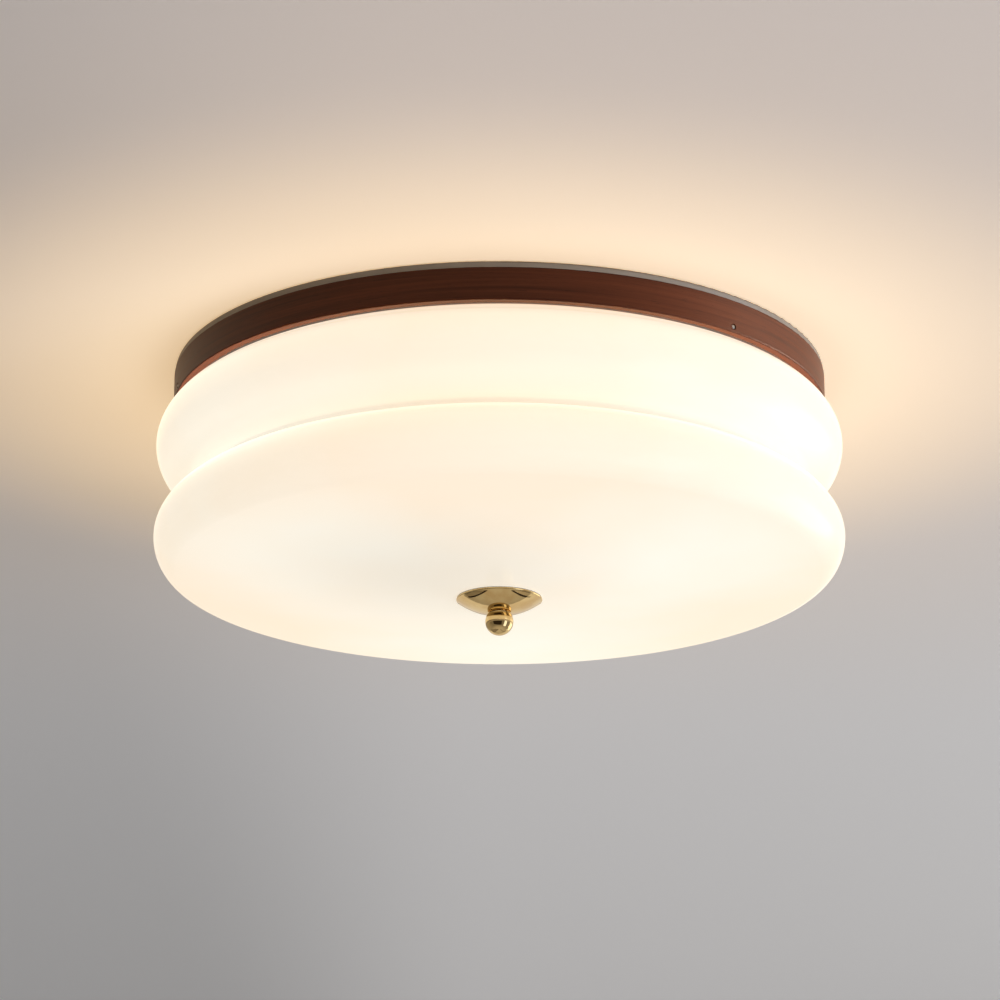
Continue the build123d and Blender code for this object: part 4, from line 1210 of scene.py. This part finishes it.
class CeilingPlaster(RoomPaint):
    """White-painted plaster that takes the light and the shadow of the lamp, shows the room's painted light
    and shade on top, and is clear from above.
    """

    def paint(self, add: Adder, shader: Node) -> None:
        """Add the room's painted light and shade to the lit plaster, on its under side only.

        Args:
            add: Adder for the material's node tree.
            shader: Shader of the material.
        """
        fill(shader, {"Base Color": linear(self.base), "Roughness": self.dullness})
        # Painted light and shade of the room, shown to the camera and in reflections
        pale = add("Emission", {0: self.tone(add), 1: seen(add)})
        lit = add("AddShader", {0: shader, 1: pale})
        side = add("NewGeometry").outputs["Backfacing"]
        mix = add("MixShader", {0: side, 1: lit, 2: add("BsdfTransparent")})
        fill(shader.id_data.nodes["Material Output"], {0: mix})


class FloorPaint(RoomPaint):
    """Painted floor, pale wherever it is seen, lighter under the light in painted light and darker far off
    and towards the camera in painted shade.
    """

    def paint(self, add: Adder, shader: Node) -> None:
        """Show the room's painted light and shade, and take part in the light as plain paint.

        Args:
            add: Adder for the material's node tree.
            shader: Shader of the material.
        """
        fill(shader, {"Base Color": linear(self.base), "Roughness": self.dullness})
        # Painted light and shade of the room, shown to the camera and in reflections
        pale = add("Emission", {0: self.tone(add)})
        mix = add("MixShader", {0: seen(add), 1: shader, 2: pale})
        fill(shader.id_data.nodes["Material Output"], {0: mix})


@dataclass(frozen=True)
class CardPaper(Finish):
    """Plain paper of one colour."""

    title: str
    colour: str

    def paint(self, add: Adder, shader: Node) -> None:
        """Show the colour as it is, whatever the light."""
        fill(shader.id_data.nodes["Material Output"], {0: add("Emission", {0: linear(self.colour)})})


@dataclass(frozen=True)
class RoomLamp:
    """A lamp of the studio: a soft panel that faces the light, or the glow of the shade on its axis."""

    name: str
    power: float
    colour: str

    def place(self, kind: str, location: Vector) -> Piece:
        """Add the lamp to the scene.

        Args:
            kind: Blender's kind of lamp.
            location: Where it stands.

        Returns:
            The lamp.
        """
        data = bpy.data.lights.new(self.name, kind)
        data.energy, data.color = self.power, linear(self.colour)[:3]
        holder = bpy.data.objects.new(self.name, data)
        holder.location = location
        bpy.context.scene.collection.objects.link(holder)
        return holder

    def panel(self, azimuth: float, elevation: float, size: Point, distance: float = 2.6) -> Piece:
        """Stand the lamp in the room as a soft panel.

        Args:
            azimuth: Direction in plan.
            elevation: Angle above the horizon.
            size: Width and height.
            distance: Distance from the middle of the light.

        Returns:
            The lamp.
        """
        rise, middle = math.radians(elevation), Vector((0, 0, -0.07))
        away = polar(math.cos(rise), math.radians(azimuth), math.sin(rise))
        holder = self.place("AREA", middle + away * distance)
        holder.data.shape, holder.data.size, holder.data.size_y = "RECTANGLE", *size
        holder.rotation_mode = "QUATERNION"
        holder.rotation_quaternion = away.to_track_quat("Z", "Y")
        return holder

    def glow(self, level: float, softness: float = 0.1) -> Piece:
        """Stand the lamp on the light's axis, as what the lit shade throws on what is round it.

        Args:
            level: Height on the axis.
            softness: Radius of the lamp.

        Returns:
            The lamp.
        """
        holder = self.place("POINT", Vector((0, 0, level)))
        holder.data.shadow_soft_size = softness
        return holder


def reach_only(holder: Piece, takers: Iterable[Piece]) -> None:
    """Let a lamp reach some objects only, with nothing else in its way.

    Args:
        holder: Lamp to link.
        takers: Objects that it lights.
    """
    group = bpy.data.collections.new(holder.name + "_takers")
    for taker in takers:
        group.objects.link(taker)
    holder.light_linking.receiver_collection = group
    holder.light_linking.blocker_collection = group


@dataclass
class Studio:
    """Ceiling, floor, lights and camera round the light."""

    ceiling_reach: float = 6.0
    ceiling_hole: float = 0.17
    ceiling_lift: float = 0.0004
    floor_reach: float = 30.0
    floor_drop: float = 2.4
    card_lift: float = 0.04
    daylight: float = 0.13
    lens_mm: float = 144.0
    sensor_mm: float = 36.0
    camera_place: Triple = (0.0004, -2.32552, -0.83856)
    camera_pitch: float = 0.3158
    # The ceiling shows a warm painted pool of the lamp's light round the light, and painted shade towards
    # the left
    ceiling_paint: Finish = CeilingPlaster(
        "plaster_painted_white", "#E6E3DE", 0.9, (0.2, 0.47), "#BB9F79", ("#7D6C5E", "#898787"),
        "X", (-0.34, 0.0, 0.55),
    )
    # The floor is lighter under the light in painted light, and darker towards the camera in painted shade
    floor_paint: Finish = FloorPaint(
        "floor_painted_pale", "#D9D6D1", 0.8, (0.6, 3.0), "#C6BFB5", ("#AAA49B", "#AAA49B"),
        "Y", (-3.0, 2.0, 0.6),
    )

    def camera(self) -> None:
        """Stand the camera below the light, looking up at it."""
        lens = bpy.data.cameras.new("camera")
        lens.lens, lens.sensor_width = self.lens_mm, self.sensor_mm
        lens.clip_start, lens.clip_end = 0.01, 100.0
        holder = bpy.data.objects.new("camera", lens)
        holder.location = self.camera_place
        holder.rotation_euler = (math.pi / 2 + self.camera_pitch, 0, 0)
        bpy.context.scene.collection.objects.link(holder)
        bpy.context.scene.camera = holder

    def ceiling(self) -> Piece:
        """Plaster ceiling with an opening over the pan, seen from below only.

        Returns:
            The ceiling.
        """
        around, radii = 128, (self.ceiling_hole, self.ceiling_reach)
        points = [polar(radius, angle, self.ceiling_lift) for radius in radii for angle in turns(around)]
        plane = shaped("stage_ceiling", points, bands([range(around), range(around, 2 * around)], False))
        self.ceiling_paint.cover(plane)
        return plane

    def floor(self) -> Piece:
        """Pale floor far below the light.

        Returns:
            The floor.
        """
        reach, z = self.floor_reach, -self.floor_drop
        corners = [(-reach, -reach, z), (reach, -reach, z), (reach, reach, z), (-reach, reach, z)]
        plane = shaped("stage_floor", corners, [(0, 1, 2, 3)])
        plane.visible_diffuse = plane.visible_shadow = False
        self.floor_paint.cover(plane)
        return plane

    def cards(self) -> None:
        """Hang cards that only show in reflections, to give polished metal its contrast.

        A dark edge lies on the floor to each side and a grey wing to the left. A dark card stands round the
        camera, and a bright window at the right behind the light.
        """
        low = self.card_lift - self.floor_drop
        edge = [(0.20, -0.40), (0.26, -0.44), (1.70, 2.2), (1.58, 2.26)]
        wing = [(-0.27, -0.42), (-1.1, -0.3), (-3.2, 2.0), (-1.72, 2.2)]
        front = [(-3.2, -2.5, -2.35), (1.0, -2.5, -2.35), (1.0, -2.5, -0.5), (-3.2, -2.5, -0.5)]
        window = [(1.6, 0.8, -2.3), (2.6, 2.0, -2.3), (2.6, 2.0, -1.1), (1.6, 0.8, -1.1)]
        papers = (
            ("card_left", "#2E261F", [(-x, y, low) for x, y in edge]),
            ("card_right", "#2E261F", [(x, y, low) for x, y in edge]),
            ("card_front", "#332C25", front),
            ("card_window", "#FFFFFF", window),
            ("card_wing", "#8E867C", [(x, y, low) for x, y in wing]),
        )
        for name, colour, corners in papers:
            panel = shaped(name, corners, [(0, 1, 2, 3)])
            panel.visible_camera = panel.visible_diffuse = panel.visible_shadow = False
            CardPaper(name + "_paper", colour).cover(panel)

    def world(self) -> None:
        """Even grey surroundings: dim as light, pale as background."""
        world = bpy.data.worlds.new("surroundings")
        bpy.context.scene.world = world
        world.use_nodes = True
        nodes, add = world.node_tree.nodes, partial(add_node, world.node_tree)
        light = nodes["Background"]
        fill(light, {0: linear("#F4F5F7"), 1: self.daylight})
        up = add("SeparateXYZ", {0: add("TexCoord").outputs["Generated"]}).outputs["Z"]
        sky = add("ValToRGB", {0: up, "stops": ((0.02, "#B4ADA4"), (0.25, "#CFCCC8"))})
        pale = add("Background", {0: sky})
        mix = add("MixShader", {0: seen(add), 1: light, 2: pale})
        fill(nodes["World Output"], {0: mix})

    def lights(self, ceiling: Piece) -> None:
        """Light the room from its windows, and the hoop, the pan and the brass by strips of their own.

        Args:
            ceiling: Ceiling that takes the warm spill of the shade.
        """
        hoop, pan = frame["nodes"]["walnut_ring"], frame["nodes"]["base_pan"]
        brass = [piece for piece in bpy.data.objects if piece.name.startswith("brass_")]
        RoomLamp("window_front", 10.5, "#E2ECFF").panel(-34, -24, (1.0, 1.9))
        RoomLamp("room_front", 16, "#E6EEFF").panel(-62, -32, (1.8, 1.0)).visible_glossy = False
        RoomLamp("window_back", 11, "#FFFFFF").panel(30, -15, (1.6, 1.4))
        RoomLamp("overhead", 40, "#FFFFFF").panel(-60, 55, (2.0, 2.0))
        reach_only(RoomLamp("side_strip", 125, "#FFEFE0").panel(0, -6, (1.2, 1.4)), (hoop,))
        reach_only(RoomLamp("pan_strip", 56, "#D4E2FF").panel(-10, -6, (0.8, 1.4)), (pan,))
        reach_only(RoomLamp("back_wall", 12, "#FFFAF2").panel(76, -25, (4.6, 1.9), 2.2), brass)
        reach_only(RoomLamp("shade_spill", 2.0, "#FFD6A0").glow(-0.34), (ceiling,))
        reach_only(RoomLamp("shade_rim", 20.0, "#FFDC96").glow(-0.2), (hoop,))

    def build(self) -> None:
        """Set up the whole studio."""
        ceiling = self.ceiling()
        self.floor()
        self.cards()
        self.world()
        self.lights(ceiling)
        self.camera()
        bpy.context.scene.view_settings.view_transform = "Standard"


def main() -> None:
    """Build every sub-assembly in order and report each piece."""
    logging.basicConfig(level=logging.INFO, format="%(message)s")
    base = CeilingBase()
    lamps = [Lamp(n, azimuth, base.lamp_level) for n, azimuth in enumerate(base.lamp_azimuths, 1)]
    base.dress()
    for lamp in lamps:
        lamp.dress()
    GlassShade().dress([lamp.middle() for lamp in lamps])
    BrassFinial().dress()
    Studio().build()


if __name__ == "__main__":
    main()
